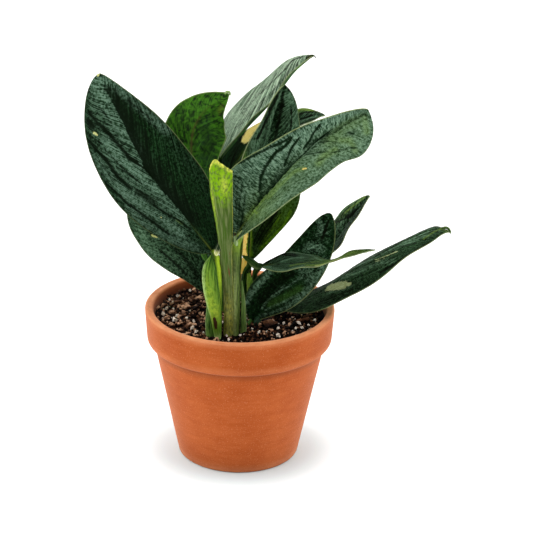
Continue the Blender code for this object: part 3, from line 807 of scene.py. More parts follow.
# The underside: matt and lighter, without the wax, its veins standing out as fine lines
def leafUnderside(name, look):
    material, tree, shader = newMaterial(name)
    blade, veins = (addNode(tree, "UVMap", {}, uv_map=layer) for layer in ("blade", "veins"))
    paint = {
        key: addNode(tree, "Attribute", {}, attribute_name=key).outputs["Fac"]
        for key in ("silver", "dark", "lime", "edge", "midrib")
    }
    drawn = addNode(tree, "Mapping", {"Vector": veins, "Scale": (0.55, 0.05, 1.0)})
    lines = addNode(tree, "TexNoise", {
        "Vector": drawn, "Scale": 1.0, "Detail": 3.0, "Roughness": 0.6,
    })
    cloud = addNode(tree, "TexNoise", {"Vector": blade, "Scale": 0.09, "Detail": 3.0})  # 11 mm wide
    dabs = addNode(tree, "TexNoise", {
        "Vector": blade, "Scale": 0.26, "Detail": 4.0, "Distortion": 0.8,
    })
    texture = addNode(tree, "Mix", {"Factor": 0.5, "A": lines, "B": dabs}, data_type="FLOAT")
    texture = addNode(tree, "MapRange", {"Value": texture, "From Min": 0.43, "From Max": 0.58})
    cloudy = addNode(tree, "MapRange", {
        "Value": cloud, "From Min": 0.35, "From Max": 0.7, "To Max": 0.8,
    })
    # painted sheen where the top is silver, and painted shade where it is dark
    greyed = addNode(tree, "Math", {0: cloudy, 1: paint["silver"]}, operation="MULTIPLY")
    shaded = addNode(tree, "Math", {0: paint["dark"], 1: 0.7}, operation="MULTIPLY")
    colour = look["backDeep"]
    for amount, other in (
        (texture, "backGreen"), (greyed, "backGrey"), (shaded, "backDeep"),
        (paint["lime"], "backBrown"), (paint["midrib"], "backRib"), (paint["edge"], "edge"),
    ):
        colour = addNode(tree, "Mix", {
            "Factor": amount, "A": colour, "B": look[other],
        }, data_type="RGBA")
    bump = addNode(tree, "Bump", {"Height": lines, "Strength": 0.35, "Distance": 0.0008})
    setInputs(tree, shader, {
        "Base Color": colour, "Normal": bump, "Roughness": 0.55, "Specular IOR Level": 0.12,
    })
    return material


# The cut edge of the blade: a thin pale line of gristle
def leafMargin(name, look):
    material, tree, shader = newMaterial(name)
    blade = addNode(tree, "UVMap", {}, uv_map="blade")
    dabs = addNode(tree, "TexNoise", {"Vector": blade, "Scale": 0.3, "Detail": 2.0})
    colour = addNode(tree, "Mix", {
        "Factor": dabs, "A": look["edge"], "B": look["green"],
    }, data_type="RGBA")
    setInputs(tree, shader, {"Base Color": colour, "Roughness": 0.5})
    return material


# What every leaf starts from. Its midrib is a path; left and right are half its width along it,
# each half lifted by so many degrees. It is painted with spots of silver and lime and
# with furrowStrokes, darkStrokes, silverStrokes and limeStrokes. A stroke is its reach in mm,
# its amount and a chain of places: percent of the length, percent of the half width, and so on,
# left of the midrib with a minus. Cream is the same without an amount
# The furrowStrokes and darkStrokes are painted shade; the silver spots and silverStrokes are partly the
# leaf's own silver-green and partly a painted sheen
leafBasics = {
    "thickness": 0.6,
    "cell": 1.15,  # width of a mesh cell
    "curl": 10.0,  # degrees by which a half blade bends back towards its edge
    "grooveDepth": 0.9,
    "grooveWidth": 1.3,
    "furrowDepth": 1.0,
    "veinCount": 7,
    "veinDepth": 0.3,
    "veinLean": 0.62,  # how far a vein leans forward by the time it meets the margin
    "puckerDepth": 0.22,
    "waveDepth": 0.9,
    "waveCount": 3.1,
    "beside": [],  # paint beside the midrib, dark being painted shade and silver a painted sheen: what, side, reach in mm, amount, from and to
    "ribShift": 0.0,  # mm by which the midrib swings off the middle, along the blade
    "silver": [],
    "silverAll": 0.25,
    "quilt": (0.05, 0.05),  # cross ridges on the left half and on the right half
    "lime": [],
    "cream": [],
    "edges": (0.25, 0.25),  # how pale the margin is on the left and on the right
    "edgeWidth": 0.6,
    "ribBright": [(0.0, 0.0, 0.1, 1.0, 0.6)],  # spots along the midrib where it is pale
    "ribWidth": 0.7,
    "slot": "leaf",
    "look": {},
}

leaves = {}
leaves["big_left"] = dict(
    rib=[(-21, -45, 190), (-45, -37, 219), (-68, -25, 247), (-90, -9, 281), (-111, 8, 314)], tip=0.55,
    left=[26, 32, 37, 41, 41], right=[42, 38, 34, 27, 15],
    face=[(0, -0.9, 0.4), (-0.25, -0.85, 0.4), (-0.55, -0.7, 0.4)], liftLeft=[5, 8, 10, 12, 15],
    liftRight=[-30, -28, -25, -25, -30], ribShift=[0, -0.6, -3.2, -1.8, -1], edges=(0.2, 0.5),
    silverAll=0.0,
    silver=[(0.5, -0.55, 0.6, 0.5, 0.5), (0.97, 0, 0.08, 0.8, 0.5), (0.5, 0.9, 0.3, 0.3, 0.15)],
    cream=[
        (0.9, 78, -77, 76.3, -70), (0.4, 76.5, -87, 76.3, -87), (0.5, 42.4, -60, 42.8, -60),
        (0.5, 28.9, -50, 29.2, -50), (0.9, 99.4, -20, 99.9, 10),
    ],
    beside=[
        ("dark", 1, 14, 0.8, 0.06, 0.96), ("dark", 1, 1.6, 0.9, 0.1, 0.96),
        ("silver", -1, 7, 0.55, 0.12, 0.97),
    ],
    furrowStrokes=[
        (2, 0.8, 87, -82, 81, -62, 78, -50, 71, -40, 67, -33, 61, -27, 57, -18),
        (1, 0.9, 57, -18, 52, -10, 48, -5, 43, 0), (1, 0.55, 86, -42, 81, -33, 77, -28, 73, -22),
        (0.8, 0.8, 69, -65, 65, -58, 59, -50, 54, -42, 50, -37, 47, -32),
        (1.8, 0.8, 76, -93, 70, -82, 65, -73, 59, -68, 54, -65, 49, -58),
        (1, 0.9, 36, -42, 29, -35, 23, -23, 15, -13), (1.2, 0.85, 56, -95, 53, -90, 48, -85, 42, -82),
        (1.5, 0.75, 43, -80, 37, -77, 32, -73, 25, -73, 20, -72), (0.6, 0.7, 68, -88, 62, -83, 56, -78),
    ],
    darkStrokes=[
        (2.8, 0.7, 46, -52, 41, -43, 37, -38), (3, 0.7, 84, -88, 80, -77),
        (1, 0.7, 83, 62, 78, 67, 74, 72, 70, 72), (4, 0.6, 92, 12, 87, 16, 79, 22, 72, 28, 63, 30),
        (6, 0.4, 51, 30, 32, 30, 17, 30),
    ],
    silverStrokes=[
        (5, 0.55, 97, -50, 87, -27, 77, -20, 69, -13, 61, -8),
        (3.4, 0.6, 72, -58, 67, -52, 61, -42, 55, -33, 50, -25, 42, -15, 34, -8),
        (3.2, 0.45, 69, -92, 61, -85, 56, -80, 48, -73, 42, -62, 34, -60, 26, -50, 16, -45),
        (3, 0.4, 43, -85, 34, -88, 23, -88, 13, -78, 7, -58),
        (4.2, 0.6, 96, 78, 91, 68, 85, 73, 80, 72, 74, 75, 68, 82, 64, 87),
    ],
    limeStrokes=[(0.8, 0.8, 23, -25, 20, -20)],
    look=dict(
        silver="#6c8c75", silverShade="#26452a", cream="#e6e6a0", creamShade="#b8bf70", hollow="#0a1609",
        soft=0.06, streaks=0.6,
    ),
)
leaves["curled_back"] = dict(
    rib=[(-23, 8, 205), (-37, 11, 234), (-39, 14, 264), (-29, 16, 284), (-11, 14, 298)], tip=0.6,
    left=[20, 20, 28, 26, 14], right=[20, 20, 23, 21, 14], face=(-0.1, 0.9, 0.3), liftLeft=10,
    liftRight=10, slot="light_leaf", edges=(0.9, 0.6), ribBright=[(0.45, 0, 0.3, 1, 1)], silverAll=0.0,
    silver=[(0.28, -0.5, 0.15, 0.3, 0.9), (0.55, -0.4, 0.25, 0.3, 0.5)],
    lime=[(0.85, -0.65, 0.05, 0.15, 0.3)],
    darkStrokes=[
        (5, 0.75, 56, -35, 46, -55, 35, -50), (2, 0.6, 39, -10, 54, -12, 70, -10),
        (1.2, 0.5, 30, 10, 45, 35, 60, 55), (1.2, 0.5, 45, 5, 62, 30, 78, 45),
        (1.2, 0.5, 62, -15, 76, -40, 86, -60),
    ],
)
leaves["tall_narrow"] = dict(
    rib=[(-17, 24, 242), (3, 28, 266), (22, 34, 286), (40, 42, 309), (55, 48, 320)], tip=0.7,
    left=[24, 24, 20, 16, 15], right=[22, 18, 13, 9, 4], face=(-0.3, -0.55, 0.75), liftLeft=10,
    liftRight=[62, 60, 66], silverAll=0.92,
    darkStrokes=[
        (0.8, 0.7, 70, -50, 80, -73, 90, -72), (0.8, 0.6, 49, -57, 61, -55, 73, -50),
        (0.7, 0.6, 29, -62, 42, -77, 55, -98), (0.8, 0.5, 29, -28, 46, -30, 62, -20, 72, 98),
        (2.4, 0.42, 20, -30, 40, -20, 60, -15, 80, -30), (1.6, 0.4, 30, -50, 50, -62, 66, -70),
        (1.2, 0.5, 30, 30, 50, 35, 75, 40), (3, 0.9, 94, 0, 100, 0),
    ],
    silverStrokes=[(1.2, 0.4, 36, -45, 53, -40, 67, -20)],
    look=dict(streaks=0.85, soft=0.06, silver="#e4fcdc", silverShade="#54805a"),
)
leaves["rear_right"] = dict(
    rib=[(-13, 44, 218), (3, 50, 240), (26, 58, 254), (50, 66, 262), (66, 72, 263)], tip=0.7,
    left=[28, 20, 15, 17, 19], right=[18, 18, 17, 14, 5], face=(-0.1, -0.2, 0.95), liftLeft=15,
    liftRight=15, edges=(0.8, 0.5), silverAll=0.05, silver=[(0.9, 0, 0.2, 1, 0.5)],
    lime=[(0.8, -0.95, 0.2, 0.25, 0.9), (0.25, 0.05, 0.1, 0.1, 0.7)],
    cream=[(4, 30, -45, 35, -70, 40, -100), (6, 43, -70, 46, -100)],
    darkStrokes=[
        (6, 0.55, 14, -25, 22, -38, 27, -62), (0.9, 0.8, 72, -47, 83, -53, 94, -83),
        (0.9, 0.8, 70, -8, 77, -7, 84, -17),
    ],
    silverStrokes=[(1.2, 0.8, 69, 47, 76, 40, 86, -3)],
    limeStrokes=[(1, 0.9, 73, -100, 79, -83, 86, -70)],
    look=dict(streaks=0.8, cream="#f8e890", creamShade="#e2ca68"),
)
leaves["upright"] = dict(
    rib=[(7, 18, 157), (9, 20, 195), (14, 22, 236), (24, 23, 275), (32, 23, 303)], tip=0.6,
    left=[27, 25, 33, 24, 22], right=[16, 37, 34.5, 27.5, 26], face=(0.6, -0.75, 0.2), liftLeft=28,
    liftRight=28, slot="light_leaf", edges=(0.6, 0.4), ribBright=[(0.05, 0, 0.14, 1, 1)], silverAll=0.22,
    silver=[(0.8, 0.65, 0.2, 0.3, 0.4), (0.6, -0.6, 0.2, 0.3, 0.35)],
    lime=[(0.2, 0.7, 0.25, 0.5, 0.38), (0.53, -1, 0.06, 0.15, 0.8)],
    cream=[(4.6, 3, -100, 7.5, -85, 11, -75, 15, -60)],
    darkStrokes=[
        (2.2, 0.9, 92, -57, 82, -70, 74, -67, 66, -68), (2, 0.7, 94, 10, 85, 20, 75, 20, 67, 22, 60, 20),
        (0.9, 0.7, 86, 65, 80, 68, 71, 67), (7, 0.66, 28, 48, 20, 45, 12, 37),
    ],
    silverStrokes=[
        (4, 0.5, 70, -75, 60, -60, 50, -50), (3, 1, 93, -10, 85, -20, 79, -26, 72, -17, 66, -5, 60, -5),
        (4, 0.8, 92, 50, 84, 78, 78, 85, 72, 88), (3, 0.45, 75, -90, 68, -88, 63, -85),
    ],
    limeStrokes=[
        (1.5, 0.5, 28, 87, 20, 93, 12, 88, 7, 70), (1, 0.4, 26, 65, 18, 65, 11, 58),
        (1.6, 1, 18, -7, 12, 2, 7, -2, 3, 17), (1.4, 1, 19, -35, 13, -40, 8, -45, 4, -50),
    ],
    look=dict(streaks=0.6, cream="#fce284", creamShade="#ecbc50", lime="#6a9a14", through=0.4),
)
leaves["big_right"] = dict(
    rib=[(-3, -42, 198), (16, -38, 227), (38, -26, 255), (64, -8, 273), (98, 14, 286)], tip=0.45,
    left=[30, 40, 23, 17, 13], right=[20, 23, 26, 27, 27.5, 27, 29, 39, 44],
    face=[(-0.5, -0.8, 0.2), (0, -0.8, 0.5), (0.5, -0.65, 0.5)], liftLeft=[5, 10, 25, 45, 50],
    liftRight=[62, 48, 28, 12, 2], ribShift=[-2.5, -1.5, 2, 0, 0], edges=(0.8, 0.5), quilt=(0.7, 0.1),
    silverAll=0.3,
    silver=[
        (0.55, -0.6, 0.45, 0.5, 0.6), (0.6, 0.6, 0.6, 0.6, 0.5), (0.9, 0.3, 0.2, 1, 0.2),
        (0.64, -0.1, 0.08, 0.5, 0.3),
    ],
    lime=[(0.2, 0.4, 0.12, 0.6, 0.35), (0.45, 0.5, 0.4, 0.6, 0.15), (0.8, 0.4, 0.2, 0.6, 0.12)],
    cream=[(0.8, 51.5, 41, 53, 46)],
    beside=[
        ("dark", -1, 6.5, 0.7, 0.12, 0.62), ("dark", -1, 1.4, 0.9, 0.08, 0.9),
        ("lime", 1, 3, 0.35, 0.05, 0.6),
    ],
    furrowStrokes=[
        (1.6, 0.85, 30, -20, 36, -37, 41, -47, 45, -55, 49, -63, 54, -63, 58, -70),
        (1.3, 0.85, 47, -12, 52, -27, 56, -42, 59, -50, 62, -58),
        (1.5, 0.85, 61, -10, 66, -23, 69, -43, 72, -57, 74, -70),
    ],
    darkStrokes=[
        (1.3, 0.75, 35, -97, 42, -93, 47, -90, 53, -82, 59, -78), (2, 0.6, 63, 2, 68, -7, 72, -2, 77, 3),
        (6, 0.45, 28, -77, 22, -53, 15, -32, 10, -12), (3.5, 0.6, 17, -50, 12, -22, 7, -17),
        (1.2, 0.5, 72, 7, 80, 10, 89, 3, 98, 3), (1.2, 0.5, 60, 55, 69, 57, 79, 65, 86, 75),
        (2.4, 0.4, 78, 27, 83, 33, 89, 33), (2.5, 0.35, 27, 40, 34, 50),
        (2.6, 0.45, 60, 10, 66, 14, 74, 16), (3.2, 0.4, 60, 28, 68, 36, 75, 40),
    ],
    silverStrokes=[
        (5, 0.5, 43, -73, 46, -45, 55, -42, 61, -25), (3, 0.4, 62, -65, 69, -73, 79, -73, 87, -65),
        (2.5, 0.35, 23, 48, 29, 72, 37, 78),
    ],
    limeStrokes=[
        (2.4, 0.45, 13, -12, 20, -5, 28, 0, 38, 15), (5, 0.2, 74, 25, 86, 7, 95, 13),
        (1, 0.8, 19, -7, 20, 23), (3, 0.35, 60, 60, 66, 52, 74, 56), (3, 0.3, 80, 35, 84, 50, 84, 80),
        (3.4, 0.3, 94, 60, 96, 20), (2.2, 0.4, 30, 20, 38, 25, 48, 28, 52, 40),
    ],
    look=dict(
        streaks=0.4, deep="#04100a", silver="#82a389", silverShade="#2c4d34", green="#1c4420",
        hollow="#0c200d", soft=0.1,
    ),
)
leaves["low_left"] = dict(
    rib=[(-22, 8, 130), (-37, 14, 153), (-56, 24, 167), (-75, 32, 181), (-90, 40, 196)], tip=0.5,
    left=[10, 19, 23, 20, 16], right=[16, 22, 23, 20, 16], face=(-0.3, -0.35, 0.9), liftLeft=15,
    liftRight=15, edges=(0.2, 0.3), silverAll=0.3, silver=[(0.5, -0.6, 0.4, 0.4, 0.3)],
    cream=[(1, 66.5, -29, 65, -25, 63, -20)],
    darkStrokes=[(3, 0.6, 46, -3, 30, -12, 17, -28), (1.6, 0.7, 53, -52, 40, -55, 24, -67)],
    silverStrokes=[(4, 0.4, 74, -62, 58, -87, 36, -98)], look=dict(cream="#dcd88c", creamShade="#98a85c"),
)
leaves["low_front"] = dict(
    rib=[(10, -20, 121), (22, -13, 138), (39, -2, 157), (56, 10, 178), (71, 20, 198)], tip=0.55,
    left=[21, 19, 13, 11, 13], right=[9, 20, 24, 24, 20], face=(0, -0.9, 0.4), liftLeft=5, liftRight=5,
    edges=(0.2, 0.6), ribBright=[], quilt=(0.3, 0.3), silverAll=0.06, silver=[(0.75, 0.2, 0.2, 0.5, 0.2)],
    darkStrokes=[(1.4, 0.8, 94, 25, 80, 36), (6, 0.6, 21, -15, 36, -10, 49, 5)],
    silverStrokes=[
        (2.6, 0.7, 12, -83, 18, -80, 27, -73, 33, -70, 40, -75),
        (3, 0.55, 69, 85, 58, 88, 47, 88, 36, 90, 29, 88), (4.5, 0.45, 56, 40, 54, 78),
        (1.2, 0.45, 15, 10, 26, 10, 39, 18), (1.6, 0.5, 9, 58, 17, 77, 26, 85),
        (1, 0.5, 15, 35, 30, 60, 42, 75), (0.9, 0.5, 30, 20, 45, 35, 60, 60), (3, 0.5, 90, -63, 85, 20),
        (3.5, 0.35, 71, -2, 74, 45),
    ],
    limeStrokes=[(3, 0.35, 22, 30, 34, 50, 45, 65)],
    look=dict(streaks=0.4, soft=0.085, lime="#4f7c30", silver="#7fa386"),
)
leaves["long_right"] = dict(
    rib=[(26, 4, 122), (57, -2, 135), (88, -9, 160), (123, -14, 186), (150, -17, 200), (164, -17, 198)],
    tip=0.6, left=[20, 21, 21, 21, 20, 14], right=[14, 21, 23.5, 24.5, 22.5, 9], face=(-0.35, -0.12, 0.9),
    liftLeft=[-5, -8, -14, -20, -18, -5], liftRight=[5, -8, -15, -3, 5, 25], edges=(0.2, 0.3),
    silverAll=0.16, silver=[(0.6, -0.6, 0.4, 0.4, 0.25)], lime=[(0.96, 0, 0.06, 1, 0.6)],
    cream=[
        (3.8, 29, 5, 32.5, 25, 36, 42), (1.6, 36, 40, 38.5, 52), (0.5, 50, 16, 55.5, 33, 60, 45),
        (0.35, 50, 25, 54, 40),
    ],
    darkStrokes=[(2, 0.7, 51, 80, 58, 92, 67, 100, 77, 100), (6, 0.5, 24, 65, 35, 87, 46, 100)],
    silverStrokes=[
        (1.2, 0.8, 27, -92, 39, -40, 48, -3, 56, 12, 67, 18, 78, 10), (2.6, 0.5, 36, -3, 41, 15, 45, 25),
        (2.6, 0.4, 46, 23, 51, 37, 57, 72), (1.2, 0.5, 29, 35, 36, 62, 39, 62),
        (1.6, 0.45, 61, 22, 69, 37, 77, 43),
    ],
    limeStrokes=[(1, 0.6, 74, 55, 82, 32, 93, -95)],
    look=dict(streaks=0.65, soft=0.055, green="#274a24", cream="#c4d29a", creamShade="#9aaa70"),
)
leaves["low_rear"] = dict(
    rib=[(48, 26, 130), (62, 30, 151), (77, 35, 169), (89, 40, 187), (103, 46, 204)], tip=0.6,
    left=[16, 18.5, 21.5, 21.5, 21], right=[16, 18, 20.5, 20, 16], face=(-0.85, -0.25, 0.4), liftLeft=12,
    liftRight=20, edges=(0.6, 0.5), silverAll=0.3, lime=[(0.85, -0.8, 0.2, 0.4, 0.25)],
    darkStrokes=[
        (0.8, 0.6, 66, -70, 78, -72, 90, -75), (0.8, 0.6, 60, 20, 70, 45, 80, 75),
        (2, 0.85, 74, -17, 82, -8), (1, 0.8, 61, -82, 69, -37, 78, -20, 89, 60),
        (2.5, 0.7, 61, 100, 78, 100, 94, 100), (3, 0.6, 42, 100, 53, 100),
    ],
    silverStrokes=[(2.5, 0.6, 69, -98, 81, -97, 94, -72), (2, 0.4, 58, -35, 67, -40)],
    limeStrokes=[(0.9, 0.7, 75, -60, 86, -55, 96, -50), (1, 0.9, 92, -97, 98, -82)],
)
leaves["twisted"] = dict(
    rib=[
        (17, -12, 165), (34, -20, 171), (52, -25, 175), (69, -28, 176), (87, -30, 183.6),
        (105, -30, 187.5),
    ],
    tip=0.8, left=[11, 15, 14, 11, 8.5, 8], right=[9, 13, 13, 11, 8, 8],
    face=[
        (-0.1, -0.7, 0.6), (-0.1, -0.6, 0.7), (-0.1, -0.2, 0.95), (-0.1, 0.2, 0.95), (-0.1, -0.1, 0.95),
    ],
    liftLeft=[-28, -25, -22, -8, 20, 30], liftRight=[45, 38, 28, 18, 0, 20], edges=(0.2, 0.5),
    silverAll=0.4, lime=[(0.75, 0, 0.2, 1.5, 0.8)], cream=[(0.8, 50, 86, 60, 92, 70, 95)],
    darkStrokes=[(1, 0.7, 15, 20, 30, 20, 45, 40), (3, 0.7, 4, -82, 14, -98, 28, -62)],
    silverStrokes=[
        (1.8, 0.8, 4, 65, 13, 82, 23, 97, 30, 97, 39, 90),
        (1.6, 0.6, 17, -100, 28, -100, 38, -100, 52, -35), (1.2, 0.6, 18, -10, 27, -30, 35, -40),
    ],
    limeStrokes=[(1, 0.8, 28, 52, 39, 52, 49, 20, 61, -12), (1.2, 0.8, 42, 80, 55, 80, 70, 80)],
    look=dict(streaks=0.85, cream="#c8d67c", creamShade="#93a850"),
)

leafLooks = {
    "puckerShape": (0.55, 0.45, 1.0),  # puckers of 2 mm
    "quiltShape": (0.2, 0.62, 1.0),  # cross ridges 1.6 mm apart
    "streakShape": (0.8, 0.09, 1.0),  # lines along the veins, 1.2 mm apart
    "streaks": 0.5,
    "soft": 0.08,  # less gives the pattern more contrast
    "deep": "#010401",
    "green": "#173a18",
    "silver": "#769c7a",
    "silverShade": "#294a2e",
    "lime": "#7fa044",
    # the colour of the painted shade in furrows and beside the midrib
    "hollow": "#070f03",
    "blend": 0.5,  # how far the pattern breaks up the edge of a wash
    "ribColour": "#8a9a3c",
    "cream": "#f0dc84",
    "creamShade": "#cfb75c",
    "through": 0.0,  # a painted glow for the light that comes through the thin cream and lime tissue
    "edge": "#a9b878",
    "gloss": 0.38,
    "shine": 0.02,
    "bump": 1.0,
    "backDeep": "#0b2205",
    "backGreen": "#4a8a1a",
    "backGrey": "#365a3c",
    "backBrown": "#80722c",
    "backRib": "#4c4a20",
}


def makeLeaf(name, leaf):
    leaf = {**leafBasics, **leaf}
    look = {**leafLooks, **leaf["look"]}
    length = float(arcLength(leaf["rib"], 1.0))
    rows = int(length * 1.2 / leaf["cell"])
    columns = 2 * int(max(leaf["left"] + leaf["right"]) / leaf["cell"])
    kept = {}

    def halfWidth(t, s):
        rounding = np.sqrt(2 * np.clip(t, 0, 1)) * (2 * np.clip(1 - t, 0, 1)) ** leaf["tip"]
        wide = np.where(s < 0, values(leaf["left"], t), values(leaf["right"], t))
        return np.maximum(wide * rounding, 0.4)

    def toTissue(chain):
        t, s = np.array(chain).reshape(-1, 2).T / 100
        return list(zip(arcLength(leaf["rib"], t), s * halfWidth(t, s)))

    def place(u, v):
        t = (1 - np.cos(np.pi * u)) / 2
        s = 2 * v - 1
        s[np.abs(s) < 1e-5] = 0.0
        side, across = np.where(s < 0, -1.0, 1.0), np.abs(s)
        centre, towards, sideways = frames(leaf["rib"], leaf["face"], t)
        half = halfWidth(t, s)
        run, offset = arcLength(leaf["rib"], t), s * half
        lift = np.where(s < 0, values(leaf["liftLeft"], t), values(leaf["liftRight"], t))
        angle = np.radians(lift - leaf["curl"] * (across - 0.5))
        lean = leaf["veinLean"] * across**0.8
        start = (t - 1.02 * lean) / (1 - lean)  # where on the midrib the vein through here begins
        openness = np.clip(across * 5, 0, 1) * np.clip((1 - across) * 6, 0, 1)
        offRib = offset - values(leaf["ribShift"], t)
        groove = np.exp(-((offRib / leaf["grooveWidth"]) ** 2)) * np.clip((1 - t) * 6, 0.15, 1)
        veinPhase = start * leaf["veinCount"] + 0.3 * side
        vein = (0.5 + 0.5 * np.cos(2 * np.pi * veinPhase)) ** 6 * openness
        painted = {paint: np.zeros(len(t)) for paint in ("furrow", "dark", "silver", "lime")}
        depth = np.zeros(len(t))
        for paint in painted:
            for reach, amount, *chain in leaf.get(paint + "Strokes", []):
                gap = toChain(run, offset, toTissue(chain))
                painted[paint] = np.maximum(painted[paint], amount * np.exp(-((gap / reach) ** 3)))
                if paint == "furrow":
                    trough = np.exp(-((gap / (0.6 * reach + 0.5)) ** 2))
                    depth = np.maximum(depth, trough * min(1.0, 0.4 + 0.3 * reach))
        for paint, besideSide, reach, amount, begin, end in leaf["beside"]:
            stretch = np.clip((t - begin) * 8, 0, 1) * np.clip((end - t) * 8, 0, 1)
            shade = amount * stretch * np.exp(-((offRib / reach) ** 2)) * (offRib * besideSide > 0)
            painted[paint] = np.maximum(painted[paint], shade)
        pucker = lumps(run, offset * 1.6, 2.6, 11) * openness
        wave = np.sin(2 * np.pi * (t * leaf["waveCount"] + 0.2 * side)) * np.sin(np.pi * t)
        height = leaf["waveDepth"] * wave * across**2 + leaf["puckerDepth"] * pucker
        height -= leaf["grooveDepth"] * groove + leaf["veinDepth"] * vein
        height -= leaf["furrowDepth"] * depth
        creams = np.full(len(t), -1.0)
        for reach, *chain in leaf["cream"]:
            creams = np.maximum(creams, 1 - toChain(run, offset, toTissue(chain)) / reach)
        margin = np.clip(1.3 - (1 - across) * half / leaf["edgeWidth"], 0, 1)
        rib = np.exp(-((offRib / leaf["ribWidth"]) ** 2))
        # silver is partly the leaf's own silver-green and partly a painted sheen
        silver = leaf["silverAll"] + spots(t, s, leaf["silver"]) + painted["silver"]
        kept["run"], kept["offset"], kept["start"] = run, offset, start * length
        kept["paint"] = {
            "silver": np.clip(silver, 0, 1),
            # painted shade in the furrows, along the veins, under the darkStrokes and beside the midrib
            "dark": np.clip(np.maximum(painted["furrow"], painted["dark"]) + 0.3 * vein, 0, 1),
            "lime": np.clip(spots(t, s, leaf["lime"]) + painted["lime"], 0, 1),
            "cream": np.clip(creams, -1, 1),
            "edge": margin * np.where(s < 0, *leaf["edges"]),
            "midrib": rib * spots(t, s * 0, leaf["ribBright"]),
            "quilt": np.where(s < 0, *leaf["quilt"]),
        }
        out, rise = (part[:, None] for part in (offset * np.cos(angle), half * across * np.sin(angle)))
        tilt = (side * np.sin(angle))[:, None]
        normal = towards * np.cos(angle)[:, None] - sideways * tilt
        return centre + out * sideways + rise * towards + height[:, None] * normal

    piece = shapedGrid("leaf_" + name, columns, rows, place)
    setAttributes(piece, kept["paint"])
    setUvMap(piece, "blade", kept["offset"], kept["run"])
    setUvMap(piece, "veins", kept["start"], kept["offset"])
    piece.data.uv_layers.remove(piece.data.uv_layers["UVMap"])
    piece.data.materials.append(leafTop(name + "LeafTop", look))
    piece.data.materials.append(leafUnderside(name + "LeafBack", look))
    piece.data.materials.append(leafMargin(name + "LeafMargin", look))
    thicken(piece, leaf["thickness"], material_offset=1, material_offset_rim=2)
    finishPiece(piece, leaf["slot"], "blade_" + name)


for leafName, leafTable in leaves.items():
    print("leaf", leafName)
    makeLeaf(leafName, leafTable)


# Living stalk: satin green, drawn out in fine lengthwise lines, with paler thin edges and painted
# highlights, bright patches painted where light comes through, dusky patches that are partly
# painted shade, and brown scars
def stalkMaterial(name, look):
    material, tree, shader = newMaterial(name)
    skin = addNode(tree, "UVMap", {}, uv_map="skin")
    lines, mottle = (
        addNode(tree, "TexNoise", {
            "Vector": addNode(tree, "Mapping", {"Vector": skin, "Scale": shape}),
            "Scale": 1.0, "Detail": 3.0, "Roughness": rough,
        })
        for shape, rough in (((1.1, 0.05, 1.0), 0.65), ((0.55, 0.3, 1.0), 0.6))  # lines 0.9 mm apart
    )
    texture, streaky, broken = (
        addNode(tree, "MapRange", {
            "Value": pattern, "From Min": low, "From Max": high, "To Min": first, "To Max": last,
        })
        for pattern, low, high, first, last in (
            (lines, 0.44, 0.56, 0.0, 1.0), (lines, 0.42, 0.56, 1.15, look["whole"]),
            (mottle, 0.4, 0.58, look["whole"], 1.15),
        )
    )
    paint = {
        key: addNode(tree, "Attribute", {}, attribute_name=key).outputs["Fac"]
        for key in stalkPaints
    }
    for key, rough in (("dusk", streaky), ("bright", broken), ("pale", broken)):
        paint[key] = addNode(tree, "Math", {
            0: paint[key], 1: rough,
        }, operation="MULTIPLY", use_clamp=True)
    ragged = addNode(tree, "Math", {0: mottle, 1: 1.2, 2: paint["scar"]}, operation="MULTIPLY_ADD")
    paint["scar"] = addNode(tree, "MapRange", {"Value": ragged, "From Min": 1.0, "From Max": 1.25})
    colour = look["deep"]
    for key, amount in {"green": texture, **paint}.items():
        colour = addNode(tree, "Mix", {"Factor": amount, "A": colour, "B": look[key]}, data_type="RGBA")
    bump = addNode(tree, "Bump", {"Height": lines, "Strength": 0.6, "Distance": 0.0008})
    setInputs(tree, shader, {
        "Base Color": colour, "Normal": bump, "Roughness": 0.42, "Specular IOR Level": 0.08,
    })
    # a painted glow where light comes through thin tissue
    if look["through"]:
        setInputs(tree, shader, {"Emission Color": colour, "Emission Strength": look["through"]})
    return material


# What every stalk starts from: a path, and half its width and half its depth along it, the
# same where no depth is given. Its paints are spots, laid in this order
stalkPaints = ("dusk", "bright", "pale", "scar")
stalkBasics = {
    "sides": 28,
    "cell": 1.6,  # length of a mesh cell
    "ribCount": 5,
    "ribDepth": 0.12,
    "swell": (0.0, 0.92),  # how much thicker it is at its joint, and where that is
    "swellReach": 0.05,
    "joins": True,  # whether it runs on into its leaf's midrib
    **dict.fromkeys(stalkPaints, []),
    "look": {},
}

stalkLooks = {
    "whole": 0.5,  # less breaks up the paints more
    "through": 0.0,  # a painted glow for the light that comes through thin tissue
    "deep": "#162f0c",
    "green": "#38601e",
    "bright": "#7a9e1c",
    "pale": "#a2b874",
    "dusk": "#12260a",
    "scar": "#34200f",
}

petioles = {}
petioles["big_left"] = dict(
    path=[
        (-16, -43, 101.6), (-16, -44.5, 118), (-16.2, -44.5, 128), (-17.6, -44, 145), (-17.4, -43.5, 165),
        (-17.8, -43.5, 180),
    ],
    wide=[2.4, 2.6, 3.3, 4.4, 4, 3.2, 2.6, 2], deep=[2.4, 2.6, 3, 3.4, 2.8, 2.2, 2, 1.8],
    bright=[(0.72, 0.14, 0.2, 0.12, 1), (0.35, 0.3, 0.2, 0.1, 0.6)],
    pale=[(0.6, 0.48, 0.35, 0.05, 0.7), (0.08, 0.25, 0.06, 0.3, 0.8)],
    dusk=[(0.75, 0.32, 0.3, 0.09, 1), (0.3, 0.07, 0.3, 0.12, 1), (1, 0.25, 0.12, 1, 1.3)],
    look=dict(
        whole=0.9, deep="#2b560d", green="#5c8a20", bright="#b0d030", pale="#b4d070", dusk="#16300a",
    ),
)
